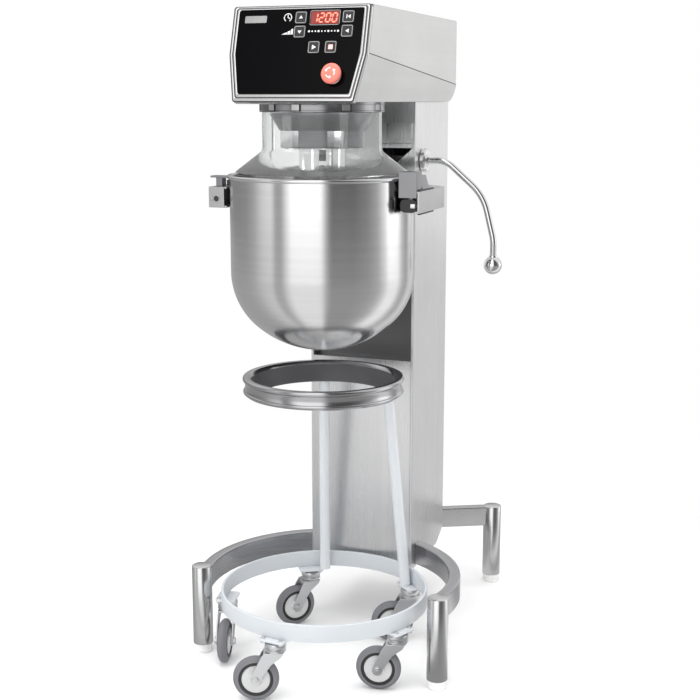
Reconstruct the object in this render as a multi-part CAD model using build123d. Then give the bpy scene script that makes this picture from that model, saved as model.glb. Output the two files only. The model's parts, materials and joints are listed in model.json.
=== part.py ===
from build123d import *
import os
from math import acos, atan2, cos, pi, radians, sin, tan

# Floor-standing planetary mixer of about 30 litres with its bowl trolley, in millimetres.
# X is to the operator's right, Y runs to the back and Z up. The origin is on the floor,
# under the axis of the bowl and of the planetary head.

# Machine frame
LEG_R, LEG_WALL, LEG_TOP, FOOT_H = 22.0, 3.0, 200.0, 20.0
FRONT_LEG = (271.0, -49.0)
REAR_LEG = (223.0, 593.0)
ARC_Y, ARC_RI, ARC_RO, ARC_Z0, ARC_Z1 = 30.0, 261.0, 286.0, 145.0, 195.0
ARC_START = -16.25
ARM_ROOT_Y, ARM_W, ARM_Z0, ARM_Z1 = 478.0, 25.0, 150.0, 199.0

# Column
COL_X, COL_Y0, COL_Y1, COL_Z0, COL_Z1, SHEET = 123.0, 235.0, 488.0, 138.0, 1202.0, 3.0
FLANGE_X, RECESS_Y, LEDGE_Z, RECESS_TOP = 117.0, 262.0, 630.0, 1085.0
UPPER_PANEL_Z, APRON_Z0, NOTCH_TIP_Z, NOTCH_X = 1103.0, 1052.0, 1066.0, (38.0, 75.0, 116.0)

# Head
HEAD_X, HEAD_LOW_X, HEAD_Z0, HEAD_Z1, HEAD_Y1, HEAD_SHEET = 142.0, 125.0, 1202.0, 1384.6, 486.0, 2.5
PANEL_LOW_Y, PANEL_TOP_Y = -161.0, -106.0
KINK_FRONT_Z, KINK_REAR_Z, HEAD_CORNER_R = 1293.0, 1240.0, 40.0
BEZEL_T, GLASS_T, GLASS_FRONT = 14.0, 4.0, -0.5
KEY, KEY_R, KEY_GAP = 24.0, 3.0, 0.3
KEYS = {
    "key_timer_up": (1.5, 166.0), "key_timer_down": (1.5, 138.0),
    "key_speed_up": (98.5, 166.0), "key_speed_down": (98.5, 138.0),
    "key_start": (34.0, 107.0), "key_stop": (68.5, 107.0),
}
ESTOP = (79.5, 50.0)

# Planetary drive
MODULE = 2.5
PLANET_TEETH, RING_TEETH = 18, 52
SPINDLE_E = MODULE * (RING_TEETH - PLANET_TEETH) / 2
SPINDLE_DIR = -108.6
SPINDLE = (SPINDLE_E * cos(radians(SPINDLE_DIR)), SPINDLE_E * sin(radians(SPINDLE_DIR)))
SHAFT_R, SPINDLE_R, RUN_FIT = 16.5, 17.0, 0.06
PULLEY_R, MOTOR_PULLEY_R, BELT_Z0, BELT_Z1 = 90.0, 30.0, 1262.0, 1290.0
MOTOR_Y, MOTOR_R = 400.0, 58.0

CARRIER_Z0, CARRIER_STEP_Z, CARRIER_Z1, DRUM_R, CONE_R = 1113.0, 1147.0, 1181.0, 86.0, 107.0

# Bowl guard: a turning front and a fixed rear, both hanging from a track ring
GUARD_WALL, GUARD_LOW_Z, TRACK_R, TRACK_Z0 = 2.5, 1062.0, 127.0, 1182.0
FRONT_NECK_R, FRONT_NECK_Z, FRONT_SKIRT_R = 122.0, 1105.2, 178.0
REAR_NECK_R, REAR_NECK_Z, REAR_SKIRT_R = 117.5, 1101.5, 170.0

# Bowl, its carriage and the lift gear
BOWL_R, BOWL_WALL, BOWL_RIM_Z, BOWL_DOME_Z, BOWL_DOME_H = 190.0, 2.5, 1057.0, 860.0, 165.0
BOWL_SHOULDER_R = 150.0
BOWL_ARM_X, BOWL_ARM_Y0, BOWL_ARM_Y1, BOWL_ARM_Z0, BOWL_ARM_Z1 = 227.0, -65.0, 109.0, 988.0, 1031.0
ROD_X, ROD_Y, ROD_R = 60.0, 290.0, 12.5
LEVER_Y, LEVER_Z, LEVER_BUSH_R, LEVER_SHAFT_R, PINION_TEETH = 286.0, 1075.0, 20.0, 10.0, 32
PINION_R = MODULE * PINION_TEETH / 2
LIFT = pi * PINION_R

# Bowl trolley
RING_R, RING_T, RING_Z0, RING_Z1 = 223.5, 6.0, 135.0, 172.0
SEAT_Z0, SEAT_Z1, SEAT_R = 600.0, 638.0, 170.0
CASTER_R, WHEEL_R, WHEEL_W, TRAIL = 219.0, 47.5, 25.0, 40.0
CASTERS = {1: (192.0, 285.0), 2: (120.0, 225.0), 3: (264.0, 200.0), 4: (336.0, 190.0), 5: (48.0, 200.0)}


def block(x0, x1, y0, y1, z0, z1):
    return Pos((x0 + x1) / 2, (y0 + y1) / 2, (z0 + z1) / 2) * Box(x1 - x0, y1 - y0, z1 - z0)


def post(x, y, z0, z1, r):
    return Pos(x, y, (z0 + z1) / 2) * Cylinder(r, z1 - z0)


def tube(x, y, z0, z1, ro, ri):
    return post(x, y, z0, z1, ro) - post(x, y, z0 - 1, z1 + 1, ri)


def bar_x(x0, x1, y, z, r):
    return Pos((x0 + x1) / 2, y, z) * Rot(0, 90, 0) * Cylinder(r, x1 - x0)


def bar_y(x, y0, y1, z, r):
    return Pos(x, (y0 + y1) / 2, z) * Rot(90, 0, 0) * Cylinder(r, y1 - y0)


def rod(start, end, r):
    start, end = Vector(start), Vector(end)
    along = end - start
    return Plane(start, z_dir=along) * Cylinder(r, along.length, align=(Align.CENTER, Align.CENTER, Align.MIN))


def prism_z(points, z0, z1):
    return extrude(Pos(0, 0, z0) * make_face(Polyline(*points, close=True)), z1 - z0)


def prism_x(points, x0, x1):
    """A (y, z) outline carried from x0 to x1."""
    face = Plane.YZ.offset(x0) * make_face(Polyline(*points, close=True))
    return extrude(face, x1 - x0)


def turned(points, start=0.0, sweep=360.0):
    """A (radius, z) outline turned about the bowl axis from one angle through another."""
    face = Plane.XZ * make_face(Polyline(*points, close=True))
    return Rot(0, 0, start) * revolve(face, Axis.Z, sweep)


def both_sides(piece):
    return piece + mirror(piece, about=Plane.YZ)


def half_space(origin, normal, reach=1600.0):
    """A large block on the side of the plane that its normal points to."""
    return Plane(Vector(origin), z_dir=Vector(normal)) * (Pos(0, 0, reach / 2) * Box(reach, reach, reach))


def gear_outline(teeth, thickness, addendum, dedendum, phase):
    """Involute outline: thickness is the share of a tooth's nominal width."""
    pressure = radians(20)
    pitch_r = MODULE * teeth / 2
    base_r = pitch_r * cos(pressure)
    root_r, tip_r = pitch_r - dedendum, pitch_r + addendum
    low_r = max(root_r, base_r)
    radii = [root_r] + [low_r + (tip_r - low_r) * i / 3 for i in range(4)]

    def half_angle(r):
        a = acos(min(1.0, base_r / r)) if r > base_r else 0.0
        return thickness * pi / (2 * teeth) + (tan(pressure) - pressure) - (tan(a) - a)

    points = []
    for tooth in range(teeth):
        centre = radians(phase) + 2 * pi * tooth / teeth
        flank = [(r, half_angle(r)) for r in radii if r == root_r or r >= low_r]
        if low_r == root_r:
            flank = flank[1:]
        for r, a in flank:
            points.append((r * cos(centre - a), r * sin(centre - a)))
        for r, a in reversed(flank):
            points.append((r * cos(centre + a), r * sin(centre + a)))
    return points


# ---- machine frame ----

def leg_positions():
    return [(sx * x, y) for x, y in (FRONT_LEG, REAR_LEG) for sx in (1, -1)]


def leg_tubes():
    legs = []
    for x, y in leg_positions():
        wall = tube(x, y, FOOT_H, LEG_TOP - 4, LEG_R, LEG_R - LEG_WALL)
        cap = fillet(post(x, y, LEG_TOP - 4, LEG_TOP, LEG_R).edges().group_by(Axis.Z)[-1], 1.5)
        nut_plate = tube(x, y, 40, 52, LEG_R - LEG_WALL, 6.1)
        legs.append(wall + cap + nut_plate)
    return Compound(legs)


def levelling_feet():
    feet = []
    for x, y in leg_positions():
        pad = post(x, y, 0, FOOT_H, LEG_R - 2)
        pad = chamfer(pad.edges().group_by(Axis.Z)[0], 2)
        feet.append(pad + post(x, y, FOOT_H, 70, 6))
    return Compound(feet)


def leg_bores():
    return [post(x, y, FOOT_H, LEG_TOP, LEG_R) for x, y in leg_positions()]


def base_arc():
    def sector(inset):
        outline = [(ARC_RI + inset, ARC_Z0 + inset), (ARC_RO - inset, ARC_Z0 + inset),
                   (ARC_RO - inset, ARC_Z1 - inset), (ARC_RI + inset, ARC_Z1 - inset)]
        return Pos(0, ARC_Y, 0) * turned(outline, ARC_START, 180 - 2 * ARC_START)
    arc = sector(0) - sector(3)
    for bore in leg_bores():
        arc -= bore
    return arc


def rear_arms():
    def arms(inset):
        length = ((REAR_LEG[1] - ARM_ROOT_Y) ** 2 + REAR_LEG[0] ** 2) ** 0.5
        middle = (REAR_LEG[0] / 2, (ARM_ROOT_Y + REAR_LEG[1]) / 2, (ARM_Z0 + ARM_Z1) / 2)
        along = Vector(REAR_LEG[0], REAR_LEG[1] - ARM_ROOT_Y, 0)
        beam = Plane(Vector(*middle), x_dir=along, z_dir=(0, 0, 1)) * Box(
            length + 20, ARM_W - 2 * inset, ARM_Z1 - ARM_Z0 - 2 * inset)
        return both_sides(beam)
    shape = arms(0) - arms(3)
    shape -= block(-COL_X, COL_X, 400, COL_Y1, 100, 260)
    for bore in leg_bores():
        shape -= bore
    return Compound([s for s in shape.solids() if s.volume > 5000])


# ---- column ----

def column_shell():
    heel_y, heel_z = COL_Y1 - 52, COL_Z0 + 27
    outline = [(COL_Y0, COL_Z0), (heel_y, COL_Z0), (COL_Y1, heel_z), (COL_Y1, COL_Z1), (COL_Y0, COL_Z1)]
    side = prism_x(outline, COL_X - SHEET, COL_X)
    flange = block(FLANGE_X, COL_X - SHEET, COL_Y0, COL_Y0 + 2, COL_Z0 + SHEET, COL_Z1)
    shell = both_sides(side + flange)
    shell += block(-COL_X + SHEET, COL_X - SHEET, COL_Y0, heel_y, COL_Z0, COL_Z0 + SHEET)
    slope = [(heel_y, COL_Z0), (COL_Y1, heel_z), (COL_Y1, heel_z + 3.5), (heel_y, COL_Z0 + SHEET)]
    shell += prism_x(slope, -COL_X + SHEET, COL_X - SHEET)
    passage = Pos(0, ARC_Y, 0) * tube(0, 0, ARC_Z0, ARC_Z1, ARC_RO, ARC_RI)
    shell -= passage
    for x in (-1, 1):
        shell -= bar_x(min(x * 100, x * 130), max(x * 100, x * 130), LEVER_Y, LEVER_Z, LEVER_BUSH_R)
    return shell


def column_rear_cover():
    return block(-COL_X + SHEET, COL_X - SHEET, COL_Y1 - SHEET, COL_Y1, COL_Z0 + 32, COL_Z1)


def lower_front_panel():
    panel = block(-FLANGE_X, FLANGE_X, COL_Y0, COL_Y0 + 2, COL_Z0 + SHEET, LEDGE_Z)
    ledge = block(-FLANGE_X, FLANGE_X, COL_Y0 + 2, RECESS_Y, LEDGE_Z - 3, LEDGE_Z)
    return panel + ledge


def upper_front_panel():
    z0 = UPPER_PANEL_Z
    panel = block(-FLANGE_X, FLANGE_X, COL_Y0, COL_Y0 + 2, z0, COL_Z1)
    lip = block(-FLANGE_X + 1, FLANGE_X - 1, COL_Y0 - 5, COL_Y0, z0, z0 + 10)
    lip += block(-FLANGE_X + 1, FLANGE_X - 1, COL_Y0 - 5, COL_Y0, z0 + 20, z0 + 53)
    apron = block(-FLANGE_X, FLANGE_X, COL_Y0 + 2, COL_Y0 + 4, APRON_Z0, z0 + 10)
    inner, tip, outer = NOTCH_X
    for x in (-1, 1):
        notch = [(x * inner, z0), (x * outer, z0), (x * tip, NOTCH_TIP_Z)]
        apron -= extrude(Plane.XZ.offset(-COL_Y0 - 6) * make_face(Polyline(*notch, close=True)), 8)
    return panel + lip + apron


def slide_backplate():
    plate = block(-FLANGE_X, FLANGE_X, RECESS_Y, RECESS_Y + 3, LEDGE_Z, RECESS_TOP)
    plate += both_sides(block(FLANGE_X - 2, FLANGE_X, COL_Y0 + 4, RECESS_Y, LEDGE_Z, RECESS_TOP))
    plate -= both_sides(block(ROD_X - 8, ROD_X + 8, RECESS_Y - 1, RECESS_Y + 4, 815, 1040))
    plate -= block(-12, 12, RECESS_Y - 1, RECESS_Y + 4, 1028, RECESS_TOP + 1)
    cover = block(-20, 20, COL_Y0 + 5.5, RECESS_Y, 1026, RECESS_TOP)
    cover -= block(-18, 18, COL_Y0 + 7.5, RECESS_Y + 1, 1028, RECESS_TOP + 1)
    return plate + cover


def guide_rods():
    return Compound([post(x, ROD_Y, 702, 1056, ROD_R) for x in (-ROD_X, ROD_X)])


def rod_brackets():
    brackets = []
    for z0 in (700, 1046):
        plate = block(-FLANGE_X - 3, FLANGE_X + 3, RECESS_Y + 6, 316, z0, z0 + 12)
        for x in (-ROD_X, ROD_X):
            plate -= post(x, ROD_Y, z0 - 1, z0 + 13, ROD_R + 0.05)
        if z0 > 1000:
            plate -= block(-14, 14, 200, 330, z0 - 1, z0 + 13)
            plate -= bar_x(-COL_X, COL_X, LEVER_Y, LEVER_Z, LEVER_BUSH_R + 0.3)
        brackets.append(plate)
    return Compound(brackets)


def lever_bearing():
    bore = LEVER_SHAFT_R + RUN_FIT
    right = bar_x(102, COL_X, LEVER_Y, LEVER_Z, LEVER_BUSH_R) - bar_x(100, 130, LEVER_Y, LEVER_Z, bore)
    left = bar_x(-COL_X, -102, LEVER_Y, LEVER_Z, LEVER_BUSH_R) - bar_x(-118, -100, LEVER_Y, LEVER_Z, bore)
    return Compound([right, left])


def cable_gland():
    y = COL_Y1
    nut = Pos(-70, y + 4, 260) * Rot(90, 0, 0) * extrude(RegularPolygon(15, 6), 4, both=True)
    dome = bar_y(-70, y + 8, y + 24, 260, 11)
    dome = fillet(dome.edges().group_by(Axis.Y)[-1], 4)
    return nut + dome - bar_y(-70, y + 10, y + 30, 260, 5)


def cover_screws():
    screws = []
    for sx in (1, -1):
        screws += [bar_y(sx * 108, COL_Y1, COL_Y1 + 2.5, z, 4.5) for z in (205, 520, 840, 1165)]
        screws += [bar_y(sx * 120, HEAD_Y1, HEAD_Y1 + 2.5, z, 4.5) for z in (1272, 1355)]
    return Compound([fillet(s.edges().group_by(Axis.Y)[-1], 1.2) for s in screws])


# ---- head ----

PANEL_UP = Vector(0, PANEL_TOP_Y - PANEL_LOW_Y, HEAD_Z1 - HEAD_Z0).normalized()
PANEL_OUT = Vector(0, -PANEL_UP.Z, PANEL_UP.Y)
PANEL = Plane(Vector(0, PANEL_LOW_Y, HEAD_Z0), x_dir=(1, 0, 0), z_dir=PANEL_OUT)
KINK_Y = PANEL_LOW_Y + (KINK_FRONT_Z - HEAD_Z0) * (PANEL_TOP_Y - PANEL_LOW_Y) / (HEAD_Z1 - HEAD_Z0)


def head_block(inset):
    """The closed outline of the whole head, drawn in by inset on every face but the front."""
    y1, z0, z1 = HEAD_Y1 - inset, HEAD_Z0 + inset, HEAD_Z1 - inset
    lean = (PANEL_TOP_Y - PANEL_LOW_Y) / (HEAD_Z1 - HEAD_Z0)
    front = [(PANEL_LOW_Y + lean * (z1 - HEAD_Z0), z1), (PANEL_LOW_Y + lean * (z0 - HEAD_Z0), z0)]
    r = HEAD_CORNER_R - inset
    lines = Polyline((y1, z0 + r), (y1, z1), front[0], front[1], (y1 - r, z0))
    corner = RadiusArc((y1 - r, z0), (y1, z0 + r), -r)
    face = make_face([lines, corner])
    width = HEAD_X - inset
    solid = extrude(Plane.YZ.offset(-width) * face, 2 * width)
    kink_front, kink_rear = Vector(HEAD_X, KINK_Y, KINK_FRONT_Z), Vector(HEAD_X, HEAD_Y1, KINK_REAR_Z)
    low = Vector(HEAD_LOW_X, PANEL_LOW_Y, HEAD_Z0)
    out = (kink_front - low).cross(kink_rear - low).normalized()
    if out.X < 0:
        out = -out
    for sx in (1, -1):
        normal = Vector(sx * out.X, out.Y, out.Z)
        point = Vector(sx * low.X, low.Y, low.Z) - normal * inset
        solid -= half_space(point, normal)
    return solid


def kink_plane():
    up = Vector(0, KINK_FRONT_Z - KINK_REAR_Z, HEAD_Y1 - KINK_Y).normalized()
    return Vector(0, KINK_Y, KINK_FRONT_Z), up


def head_shell():
    shell = head_block(0) - head_block(HEAD_SHEET)
    return shell - half_space(PANEL.origin - PANEL_OUT * BEZEL_T, PANEL_OUT)


def head_housing():
    point, up = kink_plane()
    shell = head_shell() - half_space(point, up)
    shell -= post(0, 0, HEAD_Z0 - 1, HEAD_Z0 + 4, 60)
    shell -= block(-75, 75, 318, 462, HEAD_Z0 - 1, HEAD_Z0 + 10)
    return Compound([s for s in shell.solids() if s.volume > 2000])


def head_cover():
    point, up = kink_plane()
    return head_shell() - half_space(point, -up)


def glass_outline(gap):
    low, mid, top = 15.7, 95.0, 183.0
    points = [(-115 - gap, low - gap), (115 + gap, low - gap), (129 + gap, mid), (129 + gap, top + gap),
              (-129 - gap, top + gap), (-129 - gap, mid)]
    face = make_face(Polyline(*points, close=True))
    return fillet(face.vertices(), 5)


def on_panel(shape):
    return PANEL * shape


def panel_bezel():
    frame = head_block(0) & (PANEL * (Pos(0, 95, -BEZEL_T / 2) * Box(400, 300, BEZEL_T)))
    frame -= on_panel(extrude(Pos(0, 0, -BEZEL_T - 2) * glass_outline(0.15), BEZEL_T + 4))
    return frame


def key_outline(name, gap):
    x, y = KEYS[name]
    return Pos(x, y) * RectangleRounded(KEY + 2 * gap, KEY + 2 * gap, KEY_R + gap)


def control_glass():
    pane = extrude(Pos(0, 0, GLASS_FRONT - GLASS_T) * glass_outline(0), GLASS_T)
    for name in KEYS:
        pane -= extrude(Pos(0, 0, GLASS_FRONT - GLASS_T - 1) * key_outline(name, KEY_GAP), GLASS_T + 2)
    pane -= Pos(*ESTOP, GLASS_FRONT) * Cylinder(8.4, 20)
    return on_panel(pane)


def key_cap(name):
    return on_panel(extrude(Pos(0, 0, GLASS_FRONT - GLASS_T - 1) * key_outline(name, 0), GLASS_T + 2.1))


def estop_button():
    cap = Pos(*ESTOP, 12) * Cylinder(20, 12)
    cap = fillet(cap.edges().group_by(Axis.Z)[-1], 6)
    cap = fillet(cap.edges().group_by(Axis.Z)[0], 1)
    stem = Pos(*ESTOP, -3) * Cylinder(8, 20)
    return on_panel(cap + stem)


def control_board():
    board = Pos(0, 105, -28) * Box(200, 140, 2)
    parts = Pos(50.7, 165, -22) * Box(56, 18, 10)
    parts += Pos(-60, 80, -32) * Box(60, 50, 6)
    return on_panel(board + parts)


# ---- planetary drive ----

def bearing_housing():
    flange = post(0, 0, HEAD_Z0 - 6, HEAD_Z0, CONE_R + 5)
    hub = post(0, 0, HEAD_Z0, 1254, 55)
    return flange + hub - post(0, 0, 1180, 1300, SHAFT_R + RUN_FIT)


def ring_gear():
    body = post(0, 0, 1184, HEAD_Z0 - 6, 78)
    teeth = gear_outline(RING_TEETH, 1.12, 1.3 * MODULE, 0.9 * MODULE, SPINDLE_DIR)
    return body - prism_z(teeth, 1180, 1200)


def planet_carrier():
    z0, step, z1 = CARRIER_Z0, CARRIER_STEP_Z, CARRIER_Z1
    outer = turned([(0, z0), (DRUM_R - 2, z0), (DRUM_R, z0 + 2), (DRUM_R, step), (DRUM_R + 2, step),
                    (CONE_R, z1 - 3), (CONE_R, z1), (0, z1)])
    cavity = turned([(0, z0 + 12), (DRUM_R - 9, z0 + 12), (DRUM_R - 9, step + 6), (DRUM_R - 2, step + 8),
                     (CONE_R - 9, z1 - 3), (CONE_R - 9, z1 + 3), (0, z1 + 3)])
    body = outer - cavity
    body += post(0, 0, z0 + 5, z1, 27) + post(*SPINDLE, z0 + 5, z1, 26)
    body -= post(0, 0, z0 - 10, z1 + 10, SHAFT_R)
    return body - post(*SPINDLE, z0 - 10, z1 + 10, SPINDLE_R + RUN_FIT)


def main_shaft():
    pulley = post(0, 0, BELT_Z0, BELT_Z1, PULLEY_R)
    for i in range(6):
        angle = radians(60 * i)
        pulley -= post(56 * cos(angle), 56 * sin(angle), BELT_Z0 - 1, BELT_Z1 + 1, 20)
    for z in (BELT_Z0 - 3, BELT_Z1):
        pulley += tube(0, 0, z, z + 3, PULLEY_R + 8, PULLEY_R - 8)
    return post(0, 0, 1113, 1300, SHAFT_R) + pulley


def tool_spindle():
    x, y = SPINDLE
    gear = prism_z(gear_outline(PLANET_TEETH, 0.88, MODULE, 1.2 * MODULE, SPINDLE_DIR), 1185, 1195)
    gear = Pos(x, y, 0) * gear
    shaft = post(x, y, 1112.5, 1195, SPINDLE_R) + post(x, y, 1035, 1112.5, 20)
    pin = Pos(x, y, 1058) * Rot(90, 0, 0) * Cylinder(4, 52)
    return gear + shaft + pin


def beater():
    x, y = SPINDLE
    reach, top, low, thick = 104.0, 985.0, 722.0, 14.0
    half = [(22, low), (72, low + 28), (reach, low + 105), (reach, top - 40), (70, top), (14, top), (14, 1034)]
    outline = half + [(-px, pz) for px, pz in reversed(half)]
    plate = extrude(Plane.XZ * make_face(Polyline(*outline, close=True)), thick / 2, both=True)
    for sx in (1, -1):
        for z0, z1 in ((low + 112, low + 165), (low + 181, top - 50)):
            x0, x1 = sorted((sx * 10, sx * (reach - 16)))
            plate -= block(x0, x1, -20, 20, z0, z1)
        window = [(sx * 10, low + 96), (sx * 84, low + 96), (sx * 60, low + 42), (sx * 10, low + 20)]
        plate -= extrude(Plane.XZ * make_face(Polyline(*window, close=True)), 20, both=True)
        window = [(sx * 10, top - 36), (sx * 82, top - 36), (sx * 62, top - 14), (sx * 10, top - 14)]
        plate -= extrude(Plane.XZ * make_face(Polyline(*window, close=True)), 20, both=True)
    hub = post(0, 0, top - 4, 1034.9, 19)
    return Pos(x, y, 0) * (plate + hub)


def scraper():
    turn = SPINDLE_DIR + 180
    arm = post(SPINDLE_E, 0, 1045, 1112.9, 20)
    arm = arm + block(SPINDLE_E, 180, -9, 9, 1030, 1045) + post(SPINDLE_E, 0, 1030, 1045, 20)
    arm = arm + block(166, 180, -9, 9, 880, 1030)
    blade = prism_z([(180, -9), (184.5, -2), (184.5, 2), (180, 9)], 880, 1045)
    return Rot(0, 0, turn) * (arm + blade)


def motor_body():
    case = post(0, MOTOR_Y, 1010, 1240, MOTOR_R - 4)
    for i in range(20):
        fin = Pos(0, MOTOR_Y, 1120) * Rot(0, 0, 18 * i) * (Pos(MOTOR_R - 3, 0, 0) * Box(6, 2.5, 180))
        case += fin
    case += block(-112, 112, MOTOR_Y - 62, MOTOR_Y + 62, 1240, 1248)
    for x in (-95, 95):
        for y in (MOTOR_Y - 45, MOTOR_Y + 35):
            case += post(x, y, HEAD_Z0 + HEAD_SHEET, 1240, 8)
    return case - post(0, MOTOR_Y, 1180, 1260, 12 + RUN_FIT)


def motor_pulley():
    pulley = post(0, MOTOR_Y, BELT_Z0, BELT_Z1, MOTOR_PULLEY_R)
    for z in (BELT_Z0 - 3, BELT_Z1):
        pulley += post(0, MOTOR_Y, z, z + 3, MOTOR_PULLEY_R + 7)
    return pulley + post(0, MOTOR_Y, 1181, 1296, 12)


def belt_outline(grow):
    """The outline of an open belt round both pulleys, grown by a distance."""
    big, small, span = PULLEY_R + grow, MOTOR_PULLEY_R + grow, MOTOR_Y
    tilt = (big - small) / span
    side = (1 - tilt ** 2) ** 0.5
    right = [(big * side, big * tilt), (small * side, span + small * tilt)]
    left = [(-x, y) for x, y in reversed(right)]
    edges = [Line(right[0], right[1]), ThreePointArc(right[1], (0, span + small), left[0]),
             Line(left[0], left[1]), ThreePointArc(left[1], (0, -big), right[0])]
    return make_face(edges)


def drive_belt():
    z0, height = BELT_Z0 + 1, BELT_Z1 - BELT_Z0 - 2
    outer = extrude(Pos(0, 0, z0) * belt_outline(5.3), height)
    return outer - extrude(Pos(0, 0, z0 - 1) * belt_outline(0.3), height + 2)


def inverter():
    case = block(-70, 70, 395, COL_Y1 - SHEET, 700, 910)
    for i in range(9):
        z = 715 + i * 22
        case -= block(-72, -64, 400, 470, z, z + 8)
    return case


# ---- bowl guard ----

def guard_section(neck_r, neck_z, skirt_r, top):
    """A neck of plain wall over a conical skirt, as a (radius, z) outline."""
    lean = atan2(skirt_r - neck_r, neck_z - GUARD_LOW_Z)
    across = GUARD_WALL / cos(lean)
    drop = GUARD_WALL * tan(lean / 2)
    return top + [(neck_r, neck_z), (skirt_r, GUARD_LOW_Z), (skirt_r - across, GUARD_LOW_Z),
                  (neck_r - GUARD_WALL, neck_z - drop)]


def guard_ring():
    r, z0 = TRACK_R, TRACK_Z0
    return turned([(r - 4.4, z0), (r, z0), (r, HEAD_Z0), (r - 6.5, HEAD_Z0), (r - 6.5, z0 + 10),
                   (r - 1.2, z0 + 10), (r - 1.2, z0 + 3), (r - 4.4, z0 + 3)])


def guard_front():
    r, z = FRONT_NECK_R, TRACK_Z0 + 5
    top = [(r - GUARD_WALL, z + 3), (r + 3.4, z + 3), (r + 3.4, z), (r, z)]
    return turned(guard_section(r, FRONT_NECK_Z, FRONT_SKIRT_R, top), -190, 200)


def guard_rear():
    r = REAR_NECK_R
    top = [(r - GUARD_WALL, HEAD_Z0), (r, HEAD_Z0)]
    return turned(guard_section(r, REAR_NECK_Z, REAR_SKIRT_R, top), 4, 172)


# ---- bowl lift ----

def lift_carriage():
    plate = block(-100, 100, 215, 231, 955, BOWL_ARM_Z1)
    webs = both_sides(block(ROD_X - 5, ROD_X + 5, 231, 272, 955, BOWL_ARM_Z1))
    blocks = both_sides(block(ROD_X - 22, ROD_X + 22, 272, 308, 951, BOWL_ARM_Z1))
    tie = block(-ROD_X - 22, ROD_X + 22, 308, 320, 955, 1027)
    body = plate + webs + blocks + tie
    return body - both_sides(post(ROD_X, ROD_Y, 900, 1100, ROD_R + RUN_FIT))


def lift_rack():
    pitch, pitch_y, back_y = MODULE * pi, LEVER_Y + PINION_R, 340.0
    add, ded = MODULE, 1.25 * MODULE
    half, slope = 0.44 * pitch / 2, tan(radians(20))
    first = -3
    last = 18
    points = [(back_y, 958), (320, 958), (320, 1027), (pitch_y + ded, 1027)]
    for i in range(first, last):
        z = LEVER_Z + (i + 0.5) * pitch
        points += [(pitch_y + ded, z - half - slope * ded), (pitch_y - add, z - half + slope * add),
                   (pitch_y - add, z + half - slope * add), (pitch_y + ded, z + half + slope * ded)]
    top = LEVER_Z + last * pitch
    return prism_x(points + [(pitch_y + ded, top), (back_y, top)], -9, 9)


def arm_flange():
    x, inner = BOWL_ARM_X, 40.0
    return [(x, BOWL_ARM_Y0), (x, BOWL_ARM_Y1), (100, 215), (100, 231), (60, 231), (60, 196),
            (x - inner, 92), (x - inner, BOWL_ARM_Y0)]


def bowl_arms():
    z0, z1, x, t = BOWL_ARM_Z0, BOWL_ARM_Z1, BOWL_ARM_X, 5.0
    flanges = prism_z(arm_flange(), z0, z0 + t) + prism_z(arm_flange(), z1 - t, z1)
    web = [(x, BOWL_ARM_Y0), (x, BOWL_ARM_Y1), (100, 215), (96, 211),
           (x - t, BOWL_ARM_Y1 - 3), (x - t, BOWL_ARM_Y0)]
    arm = flanges + prism_z(web, z0 + t, z1 - t)
    arm -= post(0, 0, z0 - 1, z1 + 1, BOWL_R + 2)
    arm -= block(-100, 100, 215, 240, z0 - 1, z1 + 1)
    arm += post(x - 20, BOWL_ARM_Y0 + 14, z0 + t, z1 - t, 6)
    return both_sides(arm)


def bowl_half(inset, top):
    """Half the bowl's section: a straight wall, a tight shoulder arc and a wide bottom arc."""
    side_x = BOWL_R - BOWL_SHOULDER_R
    drop = BOWL_DOME_H - BOWL_SHOULDER_R
    bottom_r = (side_x ** 2 + BOWL_DOME_H ** 2 - BOWL_SHOULDER_R ** 2) / (2 * drop)
    bottom_z = BOWL_DOME_Z - BOWL_DOME_H + bottom_r
    turn = atan2(bottom_z - BOWL_DOME_Z, side_x)

    def on_shoulder(angle):
        r = BOWL_SHOULDER_R - inset
        return (side_x + r * cos(angle), BOWL_DOME_Z - r * sin(angle))

    def on_bottom(angle):
        r = bottom_r - inset
        return (r * cos(angle), bottom_z - r * sin(angle))

    wall = Polyline(on_bottom(pi / 2), (0, top), (BOWL_R - inset, top), on_shoulder(0))
    shoulder = ThreePointArc(on_shoulder(0), on_shoulder(turn / 2), on_shoulder(turn))
    bottom = ThreePointArc(on_shoulder(turn), on_bottom((turn + pi / 2) / 2), on_bottom(pi / 2))
    return make_face([wall, shoulder, bottom])


def mixing_bowl():
    outer = revolve(Plane.XZ * bowl_half(0, BOWL_RIM_Z - 4), Axis.Z)
    inner = revolve(Plane.XZ * bowl_half(BOWL_WALL, BOWL_RIM_Z + 20), Axis.Z)
    bead = revolve(Plane.XZ * (Pos(BOWL_R + 1.5, BOWL_RIM_Z - 4) * Circle(4)), Axis.Z)
    return outer + bead - inner


def bowl_ears():
    z1 = BOWL_ARM_Z1
    right = block(184, 222, BOWL_ARM_Y0 + 1, BOWL_ARM_Y0 + 32, z1, z1 + 38)
    bevel = [(184, z1), (222, z1), (214, z1 + 28), (184, z1 + 28)]
    rear = extrude(Plane.XZ.offset(-20) * make_face(Polyline(*bevel, close=True)), 44)
    left = block(-226, -184, BOWL_ARM_Y0 + 6, BOWL_ARM_Y0 + 30, z1 + 18, z1 + 22)
    left += block(-214, -200, BOWL_ARM_Y0 + 8, BOWL_ARM_Y0 + 28, z1, z1 + 18)
    left += block(-206, -184, -24, 20, z1, z1 + 12)
    cutter = post(0, 0, z1 - 1, z1 + 40, BOWL_R) + tube(0, 0, BOWL_RIM_Z - 12, z1 + 40, BOWL_R + 6, BOWL_R - 3)
    pieces = Compound([s for piece in (right, rear, left) for s in piece.solids()])
    return Compound([s for s in (pieces - cutter).solids() if s.volume > 200])


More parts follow.
